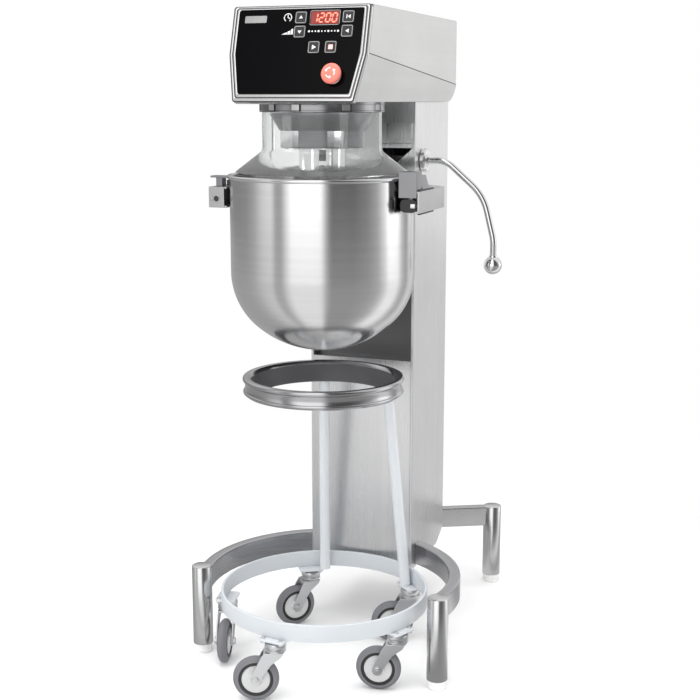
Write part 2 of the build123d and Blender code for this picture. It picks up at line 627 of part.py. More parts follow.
def lever_shaft():
    teeth = gear_outline(PINION_TEETH, 0.88, MODULE, 1.25 * MODULE, 0)
    wheel = Plane.YZ * make_face(Polyline(*teeth, close=True))
    gear = Pos(0, LEVER_Y, LEVER_Z) * extrude(wheel, 9, both=True)
    return gear + bar_x(-115, COL_X + 1, LEVER_Y, LEVER_Z, LEVER_SHAFT_R)


def lift_lever():
    hub = bar_x(COL_X + 1, 138, LEVER_Y, LEVER_Z, 25)
    hub = fillet(hub.edges().group_by(Axis.X)[-1], 2)
    path = FilletPolyline((136, LEVER_Y, LEVER_Z), (178, LEVER_Y, LEVER_Z), (264, LEVER_Y, 1000),
                          (288, LEVER_Y, 905), (288, LEVER_Y, 866), radius=[55, 110, 90])
    handle = sweep(Plane(path @ 0, z_dir=path % 0) * Circle(7), path)
    return hub + handle


def lever_knob():
    ball = Pos(288, LEVER_Y, 849) * Sphere(20)
    return ball - post(288, LEVER_Y, 866, 880, 8)


# ---- bowl trolley ----

def around(radius, angle, z):
    return (radius * cos(radians(angle)), radius * sin(radians(angle)), z)


def trolley_frame():
    ring = tube(0, 0, RING_Z0, RING_Z1, RING_R, RING_R - RING_T)
    frame = ring
    for angle, _ in CASTERS.values():
        plate = Rot(0, 0, angle) * (Pos(CASTER_R - 3, 0, RING_Z0 - 2.5) * Box(44, 56, 5))
        frame += plate + post(*around(CASTER_R - 3, angle, 0)[:2], 106, RING_Z0 - 5, 6)
    for angle in (49, 111):
        leg = rod(around(206, angle, RING_Z0 - 10), around(153, angle, SEAT_Z0 + 20), 12)
        leg -= block(-300, 300, -300, 300, SEAT_Z0, SEAT_Z0 + 60) + block(-300, 300, -300, 300, 100, RING_Z0)
        frame += leg - tube(0, 0, 100, 220, 300, RING_R - RING_T)
    return frame


def seat_ring():
    z0, z1, r = SEAT_Z0, SEAT_Z1, SEAT_R
    rim = [(r - 18.6, z1 - 5.2), (r - 14, z1), (r - 4, z1), (r, z1 - 4), (r, z1 - 10), (r - 5, z1 - 14)]
    wall = [(r - 5, z0 + 12), (r - 1, z0 + 9), (r - 1, z0 + 3), (r - 4, z0), (r - 7, z0), (r - 8, z1 - 8)]
    funnel = [(r - 14, z1 - 8), (r - 29.6, z0 + 1), (r - 31, z0 - 6), (r - 33, z0 - 6), (r - 32.6, z0 + 2)]
    return turned(rim + wall + funnel)


def caster_place(number):
    angle, heading = CASTERS[number]
    return Pos(*around(CASTER_R - 3, angle, 0)) * Rot(0, 0, heading)


def caster_fork(number):
    cheek_line = [(-19, 112), (22, 112), (50, 62), (51, 44), (42, 36), (32, 40), (26, 58), (8, 92),
                  (-19, 104)]
    fork = post(0, 0, 112, RING_Z0 - 5.3, 20) + block(-19, 22, -19, 19, 107, 112)
    for side in (-19, 15.5):
        fork += extrude(Plane.XZ.offset(-side) * make_face(Polyline(*cheek_line, close=True)), -3.5)
    fork += bar_y(TRAIL, -19, 19, WHEEL_R, 5)
    fork += bar_y(TRAIL, 19, 24, WHEEL_R, 8) + bar_y(TRAIL, -23, -19, WHEEL_R, 8)
    fork -= post(0, 0, 100, 140, 6 + RUN_FIT)
    return caster_place(number) * fork


def caster_wheel(number):
    half = WHEEL_W / 2
    tyre = [(36, -half + 2), (43, -half + 1), (WHEEL_R - 1.5, -half + 5), (WHEEL_R, 0),
            (WHEEL_R - 1.5, half - 5), (43, half - 1), (36, half - 2)]
    hub = [(5 + RUN_FIT, -half - 1.5), (13, -half - 1.5), (14, -half + 3), (34, -half + 3), (36, -half + 2),
           (36, half - 2), (34, half - 3), (14, half - 3), (13, half + 1.5), (5 + RUN_FIT, half + 1.5)]
    parts = []
    for outline in (tyre, hub):
        face = Plane.XZ * make_face(Polyline(*outline, close=True))
        parts.append(Pos(TRAIL, 0, WHEEL_R) * Rot(90, 0, 0) * revolve(face, Axis.Z))
    return Compound([caster_place(number) * part for part in parts])


nodes = {
    "base_arc": base_arc(), "rear_arms": rear_arms(), "leg_tubes": leg_tubes(),
    "levelling_feet": levelling_feet(),
    "column_shell": column_shell(), "column_rear_cover": column_rear_cover(),
    "lower_front_panel": lower_front_panel(), "upper_front_panel": upper_front_panel(),
    "slide_backplate": slide_backplate(), "guide_rods": guide_rods(), "rod_brackets": rod_brackets(),
    "lever_bearing": lever_bearing(), "cable_gland": cable_gland(), "cover_screws": cover_screws(),
    "head_housing": head_housing(), "head_cover": head_cover(), "panel_bezel": panel_bezel(),
    "control_glass": control_glass(), "control_board": control_board(), "inverter": inverter(),
    "motor_body": motor_body(), "drive_belt": drive_belt(), "bearing_housing": bearing_housing(),
    "ring_gear": ring_gear(), "guard_ring": guard_ring(), "guard_rear": guard_rear(),
    "planet_carrier": planet_carrier(), "main_shaft": main_shaft(), "scraper": scraper(),
    "tool_spindle": tool_spindle(), "beater": beater(), "motor_pulley": motor_pulley(),
    "lift_carriage": lift_carriage(), "bowl_arms": bowl_arms(), "lift_rack": lift_rack(),
    "mixing_bowl": mixing_bowl(), "bowl_ears": bowl_ears(), "lever_shaft": lever_shaft(),
    "lift_lever": lift_lever(), "lever_knob": lever_knob(), "guard_front": guard_front(),
    "estop_button": estop_button(), "trolley_frame": trolley_frame(), "seat_ring": seat_ring(),
}
for key in KEYS:
    nodes[key] = key_cap(key)
for caster in CASTERS:
    nodes[f"caster_fork_{caster}"] = caster_fork(caster)
    nodes[f"caster_wheel_{caster}"] = caster_wheel(caster)

os.makedirs("parts", exist_ok=True)
for name, shape in nodes.items():
    export_step(shape, f"parts/{name}.step")
print(len(nodes), "nodes; lift travel", round(LIFT, 3), "mm")
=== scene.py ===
"""Looks of the floor-standing planetary mixer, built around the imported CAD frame."""
import json
import math

import bmesh
import bpy
from mathutils import Matrix, Vector


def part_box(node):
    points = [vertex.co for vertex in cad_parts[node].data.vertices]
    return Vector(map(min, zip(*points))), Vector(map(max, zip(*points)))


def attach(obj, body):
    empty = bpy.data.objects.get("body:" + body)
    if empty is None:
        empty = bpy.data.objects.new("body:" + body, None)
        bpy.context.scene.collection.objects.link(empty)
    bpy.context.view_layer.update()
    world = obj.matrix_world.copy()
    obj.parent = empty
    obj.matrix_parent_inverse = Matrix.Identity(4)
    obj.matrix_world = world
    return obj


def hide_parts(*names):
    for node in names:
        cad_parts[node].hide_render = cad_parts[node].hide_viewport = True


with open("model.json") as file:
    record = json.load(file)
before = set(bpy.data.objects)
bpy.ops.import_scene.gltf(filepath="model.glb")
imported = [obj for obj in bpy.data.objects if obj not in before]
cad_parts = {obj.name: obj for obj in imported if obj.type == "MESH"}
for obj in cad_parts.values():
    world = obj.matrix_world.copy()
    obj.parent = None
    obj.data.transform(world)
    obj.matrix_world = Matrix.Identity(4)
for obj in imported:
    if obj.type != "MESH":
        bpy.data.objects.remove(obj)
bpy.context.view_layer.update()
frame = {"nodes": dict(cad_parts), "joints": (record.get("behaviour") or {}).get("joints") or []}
NODES = frame["nodes"]
JOINTS = {joint["name"]: joint for joint in frame["joints"]}

MM = 0.001
CASTERS = range(1, 6)
STEPS = 160                # facets round a large turned part
SHARP = math.radians(38)   # edges sharper than this stay crisp

# Control panel, measured along its sloping face
PANEL_LEAN = math.atan2(55.0, 182.6)
BEZEL_DEPTH = 14.0
GLASS_OUTLINE = [(-115, 15.7), (115, 15.7), (129, 95), (129, 183), (-129, 183), (-129, 95)]
DISPLAY_PLACE, DISPLAY_SIZE = (50.7, 165.0), (57.0, 25.0)
NAMEPLATE_PLACE, NAMEPLATE_SIZE = (-93.0, 164.0), (46.0, 14.0)


def box_mm(node):
    low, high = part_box(node)
    return low / MM, high / MM


# ---------------------------------------------------------------- mesh tools

def settle(name, bm, material, body, slot, edge=0.0, segments=2, merge=0.0005):
    """Turns a bmesh drawn in millimetres into a shown piece that rides on its body."""
    bmesh.ops.remove_doubles(bm, verts=bm.verts, dist=merge)
    bmesh.ops.recalc_face_normals(bm, faces=bm.faces)
    bmesh.ops.scale(bm, vec=(MM, MM, MM), verts=bm.verts)
    mesh = bpy.data.meshes.new(name)
    bm.to_mesh(mesh)
    bm.free()
    return place(name, mesh, material, body, slot, edge, segments)


def place(name, mesh, material, body, slot, edge=0.0, segments=2):
    for polygon in mesh.polygons:
        polygon.use_smooth = True
    mesh.set_sharp_from_angle(angle=SHARP)
    piece = bpy.data.objects.new(name, mesh)
    bpy.context.scene.collection.objects.link(piece)
    mesh.materials.append(material)
    if edge:
        round_edges(piece, edge, segments)
    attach(piece, body)
    return piece


def round_edges(piece, edge, segments=2):
    bevel = piece.modifiers.new("rounded_edges", "BEVEL")
    bevel.width = edge * MM
    bevel.segments = segments
    bevel.limit_method = "ANGLE"
    bevel.angle_limit = math.radians(32)
    bevel.use_clamp_overlap = True
    weights = piece.modifiers.new("flat_faces_stay_flat", "WEIGHTED_NORMAL")
    weights.keep_sharp = False


def add_lathe(bm, outline, steps=STEPS, start=0.0, sweep=360.0, turn=None):
    """Adds a closed (radius, z) outline turned about Z, whole or in part."""
    whole = sweep >= 360.0
    count = steps if whole else steps + 1
    rings = []
    for i in range(count):
        angle = math.radians(start + sweep * i / steps)
        ring = [bm.verts.new((r * math.cos(angle), r * math.sin(angle), z)) for r, z in outline]
        rings.append(ring)
    for i in range(steps):
        here, there = rings[i], rings[(i + 1) % count]
        for j in range(len(outline)):
            k = (j + 1) % len(outline)
            if outline[j][0] == 0 and outline[k][0] == 0:
                continue
            corners = [here[j], there[j], there[k], here[k]]
            if outline[j][0] == 0:
                corners = [here[j], there[k], here[k]]
            if outline[k][0] == 0:
                corners = [here[j], there[j], here[k]]
            bm.faces.new(corners)
    if not whole:
        bm.faces.new(rings[0])
        bm.faces.new(list(reversed(rings[-1])))
    fresh = [v for ring in rings for v in ring]
    if turn is not None:
        bmesh.ops.transform(bm, matrix=turn, verts=fresh)
    return fresh


def add_prism(bm, outline, low, high, turn=None):
    """Adds an (x, y) outline carried along Z from low to high."""
    bottom = [bm.verts.new((x, y, low)) for x, y in outline]
    top = [bm.verts.new((x, y, high)) for x, y in outline]
    bm.faces.new(list(reversed(bottom)))
    bm.faces.new(top)
    for i in range(len(outline)):
        j = (i + 1) % len(outline)
        bm.faces.new((bottom[i], bottom[j], top[j], top[i]))
    if turn is not None:
        bmesh.ops.transform(bm, matrix=turn, verts=bottom + top)
    return bottom + top


def add_block(bm, low, high, turn=None):
    outline = [(low[0], low[1]), (high[0], low[1]), (high[0], high[1]), (low[0], high[1])]
    return add_prism(bm, outline, low[2], high[2], turn)


def arc_points(cx, cy, r, start, end, steps=6):
    """Points on an arc, angles in degrees, both ends kept."""
    points = []
    for i in range(steps + 1):
        angle = math.radians(start + (end - start) * i / steps)
        points.append((cx + r * math.cos(angle), cy + r * math.sin(angle)))
    return points


def round_rect(width, height, r, cx=0.0, cy=0.0, steps=5):
    x, y = width / 2 - r, height / 2 - r
    return (arc_points(cx + x, cy + y, r, 0, 90, steps) + arc_points(cx - x, cy + y, r, 90, 180, steps)
            + arc_points(cx - x, cy - y, r, 180, 270, steps) + arc_points(cx + x, cy - y, r, 270, 360, steps))


def rounded(outline, r, steps=5):
    """The outline with each corner replaced by an arc of radius r."""
    points = []
    for i, corner in enumerate(outline):
        p, a, b = Vector(corner), Vector(outline[i - 1]), Vector(outline[(i + 1) % len(outline)])
        to_a, to_b = (a - p).normalized(), (b - p).normalized()
        half = to_a.angle(to_b) / 2
        reach = r / math.tan(half)
        centre = p + (to_a + to_b).normalized() * (r / math.sin(half))
        first, last = p + to_a * reach - centre, p + to_b * reach - centre
        for step in range(steps + 1):
            ray = first.lerp(last, step / steps).normalized() * r
            points.append(tuple(centre + ray))
    return points


def hexagon(across):
    return [(across / math.sqrt(3) * math.cos(math.radians(60 * i)),
             across / math.sqrt(3) * math.sin(math.radians(60 * i))) for i in range(6)]


def frame_from(origin, x_axis, z_axis):
    """A matrix whose Z is z_axis and whose X leans to x_axis, in millimetres."""
    z = Vector(z_axis).normalized()
    x = (Vector(x_axis) - z * Vector(x_axis).dot(z)).normalized()
    y = z.cross(x)
    rotation = Matrix((x, y, z)).transposed().to_4x4()
    return Matrix.Translation(Vector(origin)) @ rotation


def smooth_path(points, radii, steps=14):
    """A polyline with its inner corners turned into arcs."""
    path = [Vector(points[0])]
    for i, r in enumerate(radii, start=1):
        p, a, b = Vector(points[i]), Vector(points[i - 1]), Vector(points[i + 1])
        to_a, to_b = (a - p).normalized(), (b - p).normalized()
        half = to_a.angle(to_b) / 2
        reach = r / math.tan(half)
        centre = p + (to_a + to_b).normalized() * (r / math.sin(half))
        first, last = p + to_a * reach - centre, p + to_b * reach - centre
        for step in range(steps + 1):
            path.append(centre + first.lerp(last, step / steps).normalized() * r)
    path.append(Vector(points[-1]))
    return path


def add_tube(bm, path, r, steps=28):
    """Adds a round bar along a path of points, with closed ends."""
    rings = []
    side = None
    for i, point in enumerate(path):
        ahead = path[min(i + 1, len(path) - 1)] - path[max(i - 1, 0)]
        along = ahead.normalized()
        if side is None:
            side = along.orthogonal().normalized()
        side = (side - along * side.dot(along)).normalized()
        up = along.cross(side)
        ring = []
        for k in range(steps):
            angle = 2 * math.pi * k / steps
            ring.append(bm.verts.new(point + (side * math.cos(angle) + up * math.sin(angle)) * r))
        rings.append(ring)
    for here, there in zip(rings, rings[1:]):
        for k in range(steps):
            j = (k + 1) % steps
            bm.faces.new((here[k], here[j], there[j], there[k]))
    bm.faces.new(list(reversed(rings[0])))
    bm.faces.new(rings[-1])


# ---------------------------------------------------------------- shader groups

def new_group(name, inputs, outputs):
    tree = bpy.data.node_groups.new(name, "ShaderNodeTree")
    for label, kind, value in inputs:
        socket = tree.interface.new_socket(name=label, in_out="INPUT", socket_type=kind)
        socket.default_value = value
    for label, kind in outputs:
        tree.interface.new_socket(name=label, in_out="OUTPUT", socket_type=kind)
    return tree, tree.nodes.new("NodeGroupInput"), tree.nodes.new("NodeGroupOutput")


def math_node(tree, operation, a, b=None, clamp=False):
    node = tree.nodes.new("ShaderNodeMath")
    node.operation = operation
    node.use_clamp = clamp
    for socket, value in zip(node.inputs, (a, b)):
        if value is None:
            continue
        if isinstance(value, (int, float)):
            socket.default_value = value
        else:
            tree.links.new(value, socket)
    return node.outputs[0]


def noise_node(tree, vector, scale, detail=3.0, roughness=0.55):
    node = tree.nodes.new("ShaderNodeTexNoise")
    node.inputs["Detail"].default_value = detail
    node.inputs["Roughness"].default_value = roughness
    if isinstance(scale, (int, float)):
        node.inputs["Scale"].default_value = scale
    else:
        tree.links.new(scale, node.inputs["Scale"])
    if vector is not None:
        tree.links.new(vector, node.inputs["Vector"])
    return node.outputs["Fac"]


def make_sheet_grain():
    """Straight brushing lines: noise drawn out along one axis."""
    tree, given, out = new_group(
        "sheet_grain",
        [("Stretch", "NodeSocketVector", (1.0, 1.0, 1.0)), ("Fineness", "NodeSocketFloat", 1.0)],
        [("Lines", "NodeSocketFloat"), ("Streaks", "NodeSocketFloat")])
    where = tree.nodes.new("ShaderNodeTexCoord")
    drawn = tree.nodes.new("ShaderNodeVectorMath")
    drawn.operation = "MULTIPLY"
    tree.links.new(where.outputs["Object"], drawn.inputs[0])
    tree.links.new(given.outputs["Stretch"], drawn.inputs[1])
    scaled = tree.nodes.new("ShaderNodeVectorMath")
    scaled.operation = "SCALE"
    tree.links.new(drawn.outputs[0], scaled.inputs[0])
    tree.links.new(given.outputs["Fineness"], scaled.inputs["Scale"])
    tree.links.new(noise_node(tree, scaled.outputs[0], 1.0, 4.0, 0.65), out.inputs["Lines"])
    tree.links.new(noise_node(tree, scaled.outputs[0], 0.12, 2.0, 0.5), out.inputs["Streaks"])
    return tree


def make_turned_grain():
    """Brushing that runs round the machine's vertical axis, without a seam."""
    tree, given, out = new_group(
        "turned_grain",
        [("Around", "NodeSocketFloat", 2.0), ("Across", "NodeSocketFloat", 900.0)],
        [("Lines", "NodeSocketFloat"), ("Streaks", "NodeSocketFloat")])
    where = tree.nodes.new("ShaderNodeTexCoord")
    split = tree.nodes.new("ShaderNodeSeparateXYZ")
    tree.links.new(where.outputs["Object"], split.inputs[0])
    x, y, z = split.outputs
    radius = math_node(tree, "SQRT", math_node(tree, "ADD", math_node(tree, "MULTIPLY", x, x),
                                               math_node(tree, "MULTIPLY", y, y)))
    safe = math_node(tree, "MAXIMUM", radius, 0.001)
    east = math_node(tree, "MULTIPLY", math_node(tree, "DIVIDE", x, safe), given.outputs["Around"])
    north = math_node(tree, "MULTIPLY", math_node(tree, "DIVIDE", y, safe), given.outputs["Around"])
    slope = math_node(tree, "ADD", z, math_node(tree, "MULTIPLY", radius, 0.9))
    level = math_node(tree, "MULTIPLY", slope, given.outputs["Across"])
    joined = tree.nodes.new("ShaderNodeCombineXYZ")
    for source, socket in zip((east, north, level), joined.inputs):
        tree.links.new(source, socket)
    tree.links.new(noise_node(tree, joined.outputs[0], 1.0, 4.0, 0.65), out.inputs["Lines"])
    tree.links.new(noise_node(tree, joined.outputs[0], 0.09, 2.0, 0.5), out.inputs["Streaks"])
    return tree


def make_handling():
    """Faint cloudy smears, as wiped metal and glass keep."""
    tree, given, out = new_group(
        "handling", [("Size", "NodeSocketFloat", 6.0), ("Amount", "NodeSocketFloat", 0.5)],
        [("Smear", "NodeSocketFloat")])
    where = tree.nodes.new("ShaderNodeTexCoord")
    cloud = noise_node(tree, where.outputs["Object"], given.outputs["Size"], 5.0, 0.6)
    spread = tree.nodes.new("ShaderNodeMapRange")
    spread.inputs["From Min"].default_value = 0.35
    spread.inputs["From Max"].default_value = 0.7
    tree.links.new(cloud, spread.inputs["Value"])
    tree.links.new(math_node(tree, "MULTIPLY", spread.outputs[0], given.outputs["Amount"]),
                   out.inputs["Smear"])
    return tree


def make_edge_wear():
    """A mask of outer edges, where handling polishes metal and scuffs plastic."""
    tree, given, out = new_group(
        "edge_wear", [("Amount", "NodeSocketFloat", 0.6)], [("Edge", "NodeSocketFloat")])
    shape = tree.nodes.new("ShaderNodeNewGeometry")
    spread = tree.nodes.new("ShaderNodeMapRange")
    spread.inputs["From Min"].default_value = 0.52
    spread.inputs["From Max"].default_value = 0.62
    tree.links.new(shape.outputs["Pointiness"], spread.inputs["Value"])
    tree.links.new(math_node(tree, "MULTIPLY", spread.outputs[0], given.outputs["Amount"]),
                   out.inputs["Edge"])
    return tree


def make_moulded_skin():
    """The fine pebbled skin of moulded plastic, rubber and cast alloy."""
    tree, given, out = new_group(
        "moulded_skin", [("Size", "NodeSocketFloat", 900.0)], [("Skin", "NodeSocketFloat")])
    where = tree.nodes.new("ShaderNodeTexCoord")
    tree.links.new(noise_node(tree, where.outputs["Object"], given.outputs["Size"], 4.0, 0.6),
                   out.inputs["Skin"])
    return tree


SHEET_GRAIN = make_sheet_grain()
TURNED_GRAIN = make_turned_grain()
HANDLING = make_handling()
EDGE_WEAR = make_edge_wear()
MOULDED_SKIN = make_moulded_skin()


def use_group(tree, group, **values):
    node = tree.nodes.new("ShaderNodeGroup")
    node.node_tree = group
    for label, value in values.items():
        node.inputs[label].default_value = value
    return node


# ---------------------------------------------------------------- materials

def base_material(name, colour, roughness, metallic=0.0, **sockets):
    material = bpy.data.materials.new(name)
    material.use_nodes = True
    shader = material.node_tree.nodes["Principled BSDF"]
    shader.inputs["Base Color"].default_value = (*colour, 1)
    shader.inputs["Roughness"].default_value = roughness
    shader.inputs["Metallic"].default_value = metallic
    for label, value in sockets.items():
        shader.inputs[label.replace("_", " ")].default_value = value
    return material


def tint(tree, shader, colour, other, mask):
    """Base colour that goes from colour to other where the mask is high."""
    mix = tree.nodes.new("ShaderNodeMix")
    mix.data_type = "RGBA"
    mix.inputs["A"].default_value = (*colour, 1)
    mix.inputs["B"].default_value = (*other, 1)
    tree.links.new(mask, mix.inputs["Factor"])
    tree.links.new(mix.outputs["Result"], shader.inputs["Base Color"])


def vary_roughness(tree, shader, low, high, mask):
    spread = tree.nodes.new("ShaderNodeMapRange")
    spread.inputs["To Min"].default_value = low
    spread.inputs["To Max"].default_value = high
    tree.links.new(mask, spread.inputs["Value"])
    tree.links.new(spread.outputs[0], shader.inputs["Roughness"])


def relief(tree, shader, height, strength, depth=0.0002):
    bump = tree.nodes.new("ShaderNodeBump")
    bump.inputs["Strength"].default_value = strength
    bump.inputs["Distance"].default_value = depth
    tree.links.new(height, bump.inputs["Height"])
    tree.links.new(bump.outputs["Normal"], shader.inputs["Normal"])


def round_tangent(tree, shader):
    tangent = tree.nodes.new("ShaderNodeTangent")
    tangent.direction_type = "RADIAL"
    tangent.axis = "Z"
    tree.links.new(tangent.outputs[0], shader.inputs["Tangent"])


def brushed_sheet(name, colour, roughness, stretch, turn=0.0, anisotropy=0.6, depth=0.25):
    """Brushed stainless sheet: drawn-out lines, streaks and faint smears."""
    material = base_material(name, colour, roughness, 1.0, Anisotropic=anisotropy, Anisotropic_Rotation=turn)
    tree = material.node_tree
    shader = tree.nodes["Principled BSDF"]
    grain = use_group(tree, SHEET_GRAIN, Stretch=stretch)
    smear = use_group(tree, HANDLING, Size=5.0, Amount=0.5)
    darker = tuple(c * 0.86 for c in colour)
    mask = math_node(tree, "MULTIPLY_ADD", grain.outputs["Streaks"], 0.7, clamp=True)
    tree.links.new(smear.outputs["Smear"], mask.node.inputs[2])
    tint(tree, shader, colour, darker, mask)
    vary_roughness(tree, shader, roughness - 0.06, roughness + 0.12, grain.outputs["Lines"])
    relief(tree, shader, grain.outputs["Lines"], depth)
    round_tangent(tree, shader)
    return material


def turned_metal(name, colour, roughness, anisotropy=0.75, depth=0.3, across=900.0, contrast=0.8):
    """Metal brushed or turned about the vertical axis, such as the bowl."""
    material = base_material(name, colour, roughness, 1.0, Anisotropic=anisotropy, Anisotropic_Rotation=0.25)
    tree = material.node_tree
    shader = tree.nodes["Principled BSDF"]
    grain = use_group(tree, TURNED_GRAIN, Across=across)
    tint(tree, shader, colour, tuple(c * contrast for c in colour), grain.outputs["Streaks"])
    vary_roughness(tree, shader, roughness - 0.05, roughness + 0.12, grain.outputs["Lines"])
    relief(tree, shader, grain.outputs["Lines"], depth)
    round_tangent(tree, shader)
    return material


def polished_metal(name, colour, roughness, smear=0.4):
    material = base_material(name, colour, roughness, 1.0)
    tree = material.node_tree
    shader = tree.nodes["Principled BSDF"]
    cloud = use_group(tree, HANDLING, Size=22.0, Amount=smear)
    vary_roughness(tree, shader, roughness, roughness + 0.14, cloud.outputs["Smear"])
    wear = use_group(tree, EDGE_WEAR, Amount=0.5)
    tint(tree, shader, colour, tuple(min(1.0, c * 1.12) for c in colour), wear.outputs["Edge"])
    return material


def skinned(name, colour, roughness, size=900.0, metallic=0.0, depth=0.3, worn=None, **sockets):
    """Moulded plastic, rubber, enamel or cast metal with a fine skin and rubbed edges."""
    material = base_material(name, colour, roughness, metallic, **sockets)
    tree = material.node_tree
    shader = tree.nodes["Principled BSDF"]
    skin = use_group(tree, MOULDED_SKIN, Size=size)
    wear = use_group(tree, EDGE_WEAR, Amount=0.5)
    tint(tree, shader, colour, worn or tuple(min(1.0, c * 1.35 + 0.02) for c in colour), wear.outputs["Edge"])
    vary_roughness(tree, shader, roughness - 0.06, roughness + 0.12, skin.outputs["Skin"])
    relief(tree, shader, skin.outputs["Skin"], depth, 0.0001)
    return material


def clear_sheet(name):
    """Clear polycarbonate with faint wiping smears."""
    material = base_material(name, (0.97, 0.98, 0.975), 0.03, 0.0, Transmission_Weight=0.95, IOR=1.4)
    tree = material.node_tree
    shader = tree.nodes["Principled BSDF"]
    smear = use_group(tree, HANDLING, Size=14.0, Amount=1.0)
    vary_roughness(tree, shader, 0.02, 0.12, smear.outputs["Smear"])
    return material


def black_glass():
    material = base_material("black_glass", (0.0015, 0.0015, 0.002), 0.12, 0.0, Specular_IOR_Level=0.12)
    tree = material.node_tree
    shader = tree.nodes["Principled BSDF"]
    smear = use_group(tree, HANDLING, Size=16.0, Amount=0.8)
    vary_roughness(tree, shader, 0.05, 0.16, smear.outputs["Smear"])
    return material


def lit(name, colour, strength):
    return base_material(name, colour, 0.35, 0.0, Emission_Color=(*colour, 1), Emission_Strength=strength)


MAT = {
    "column": brushed_sheet("column_sheet", (0.86, 0.86, 0.865), 0.26, (520, 520, 5), anisotropy=0.2,
                            depth=0.15),
    "head": brushed_sheet("head_sheet", (0.80, 0.795, 0.79), 0.30, (520, 5, 520), anisotropy=0.2, depth=0.15),
    "tube": brushed_sheet("tube_steel", (0.72, 0.72, 0.725), 0.20, (420, 420, 8), anisotropy=0.0, depth=0.12),
    "arm": brushed_sheet("arm_steel", (0.58, 0.58, 0.585), 0.26, (8, 420, 420), anisotropy=0.2, depth=0.15),
    "bezel": polished_metal("bezel_steel", (0.86, 0.86, 0.855), 0.12),
    "bowl": turned_metal("bowl_steel", (0.78, 0.78, 0.785), 0.15, anisotropy=0.8, depth=0.2, contrast=0.88),
    "arc": turned_metal("arc_steel", (0.50, 0.50, 0.515), 0.22, anisotropy=0.5, depth=0.12, contrast=0.9),
    "trolley": skinned("trolley_enamel", (0.58, 0.61, 0.64), 0.34, 700.0, depth=0.08,
                       worn=(0.85, 0.87, 0.89), Coat_Weight=0.3),
    "seat": turned_metal("seat_steel", (0.52, 0.52, 0.53), 0.14, anisotropy=0.4, depth=0.08, contrast=0.9),
    # seat_rim_shade: near-black band colour, painted shade for the seat rim's inner slope under the bowl
    "seat_rim_shade": skinned("seat_rim_shade", (0.075, 0.075, 0.08), 0.42, depth=0.2),
    # carrier: bright alloy used only for the patches painted on the drum as highlights
    "carrier": turned_metal("drum_highlight_alloy", (0.72, 0.72, 0.73), 0.16, anisotropy=0.7, depth=0.1),
    "ear": polished_metal("ear_steel", (0.30, 0.30, 0.31), 0.3),
    # groove: near-black steel, painted shade for the bezel's groove and its rolled outer edge
    "groove": polished_metal("groove_shade_steel", (0.10, 0.10, 0.105), 0.3),
    # drum: turned alloy darkened to paint the shade that falls on the drum under the guard and cone
    "drum": turned_metal("drum_shade_alloy", (0.16, 0.16, 0.17), 0.22, anisotropy=0.6, depth=0.1),
    "cone": turned_metal("cone_alloy", (0.30, 0.30, 0.315), 0.20, anisotropy=0.6, depth=0.1),
    "track": turned_metal("track_alloy", (0.34, 0.34, 0.35), 0.2, anisotropy=0.5, depth=0.1),
    "chrome": polished_metal("lever_chrome", (0.74, 0.74, 0.75), 0.07),
    "shaft": polished_metal("shaft_steel", (0.70, 0.70, 0.71), 0.2),
    "zinc": skinned("zinc_plate", (0.70, 0.71, 0.72), 0.30, 260.0, 1.0, 0.15, worn=(0.85, 0.85, 0.86)),
    "cast": skinned("cast_alloy", (0.42, 0.42, 0.44), 0.38, 420.0, 1.0, 0.5, worn=(0.62, 0.62, 0.63)),
    # recess: steel darkened to near black as painted shade for the column's recessed channel and the brackets
    # inside it
    "recess": skinned("recess_steel", (0.12, 0.12, 0.125), 0.34, 300.0, 0.8, 0.1, worn=(0.2, 0.2, 0.2)),
    "glass": black_glass(),
    "key": skinned("key_face", (0.012, 0.012, 0.013), 0.28, 1400.0, depth=0.1),
    "print": skinned("white_print", (0.62, 0.62, 0.61), 0.5, 1500.0, depth=0.05),
    "grey_print": skinned("grey_print", (0.30, 0.30, 0.30), 0.5, 1500.0, depth=0.05),
    "window": skinned("display_window", (0.20, 0.022, 0.018), 0.16, 1500.0, depth=0.02, Coat_Weight=0.4),
    "digit": lit("lit_digit", (1.0, 0.16, 0.10), 2.4),
    "pink": lit("stop_mark", (1.0, 0.42, 0.40), 0.5),
    "red": skinned("mushroom_red", (0.80, 0.20, 0.15), 0.30, 1200.0, depth=0.08, worn=(0.86, 0.42, 0.36),
                   Coat_Weight=0.3),
    "white": skinned("white_nylon", (0.84, 0.84, 0.83), 0.42, 900.0, depth=0.15),
    "black": skinned("black_nylon", (0.018, 0.018, 0.019), 0.42, 900.0, depth=0.25),
    "tyre": skinned("tyre_rubber", (0.17, 0.17, 0.185), 0.55, 700.0, depth=0.4, worn=(0.26, 0.26, 0.27)),
    "hub": skinned("hub_nylon", (0.62, 0.62, 0.62), 0.38, 900.0, depth=0.15),
    "clear": clear_sheet("clear_guard"),
    "weld": skinned("weld_bead", (0.62, 0.62, 0.64), 0.33, 180.0, 1.0, 0.8, worn=(0.8, 0.8, 0.8)),
    "belt": skinned("belt_rubber", (0.02, 0.02, 0.02), 0.6, 600.0),
    "board": skinned("circuit_board", (0.01, 0.10, 0.045), 0.35, 300.0),
    "enamel": skinned("motor_enamel", (0.09, 0.10, 0.12), 0.35, 500.0, depth=0.35),
    "drive": skinned("drive_housing", (0.14, 0.145, 0.155), 0.45, 900.0),
}


# ---------------------------------------------------------------- CAD nodes that stay

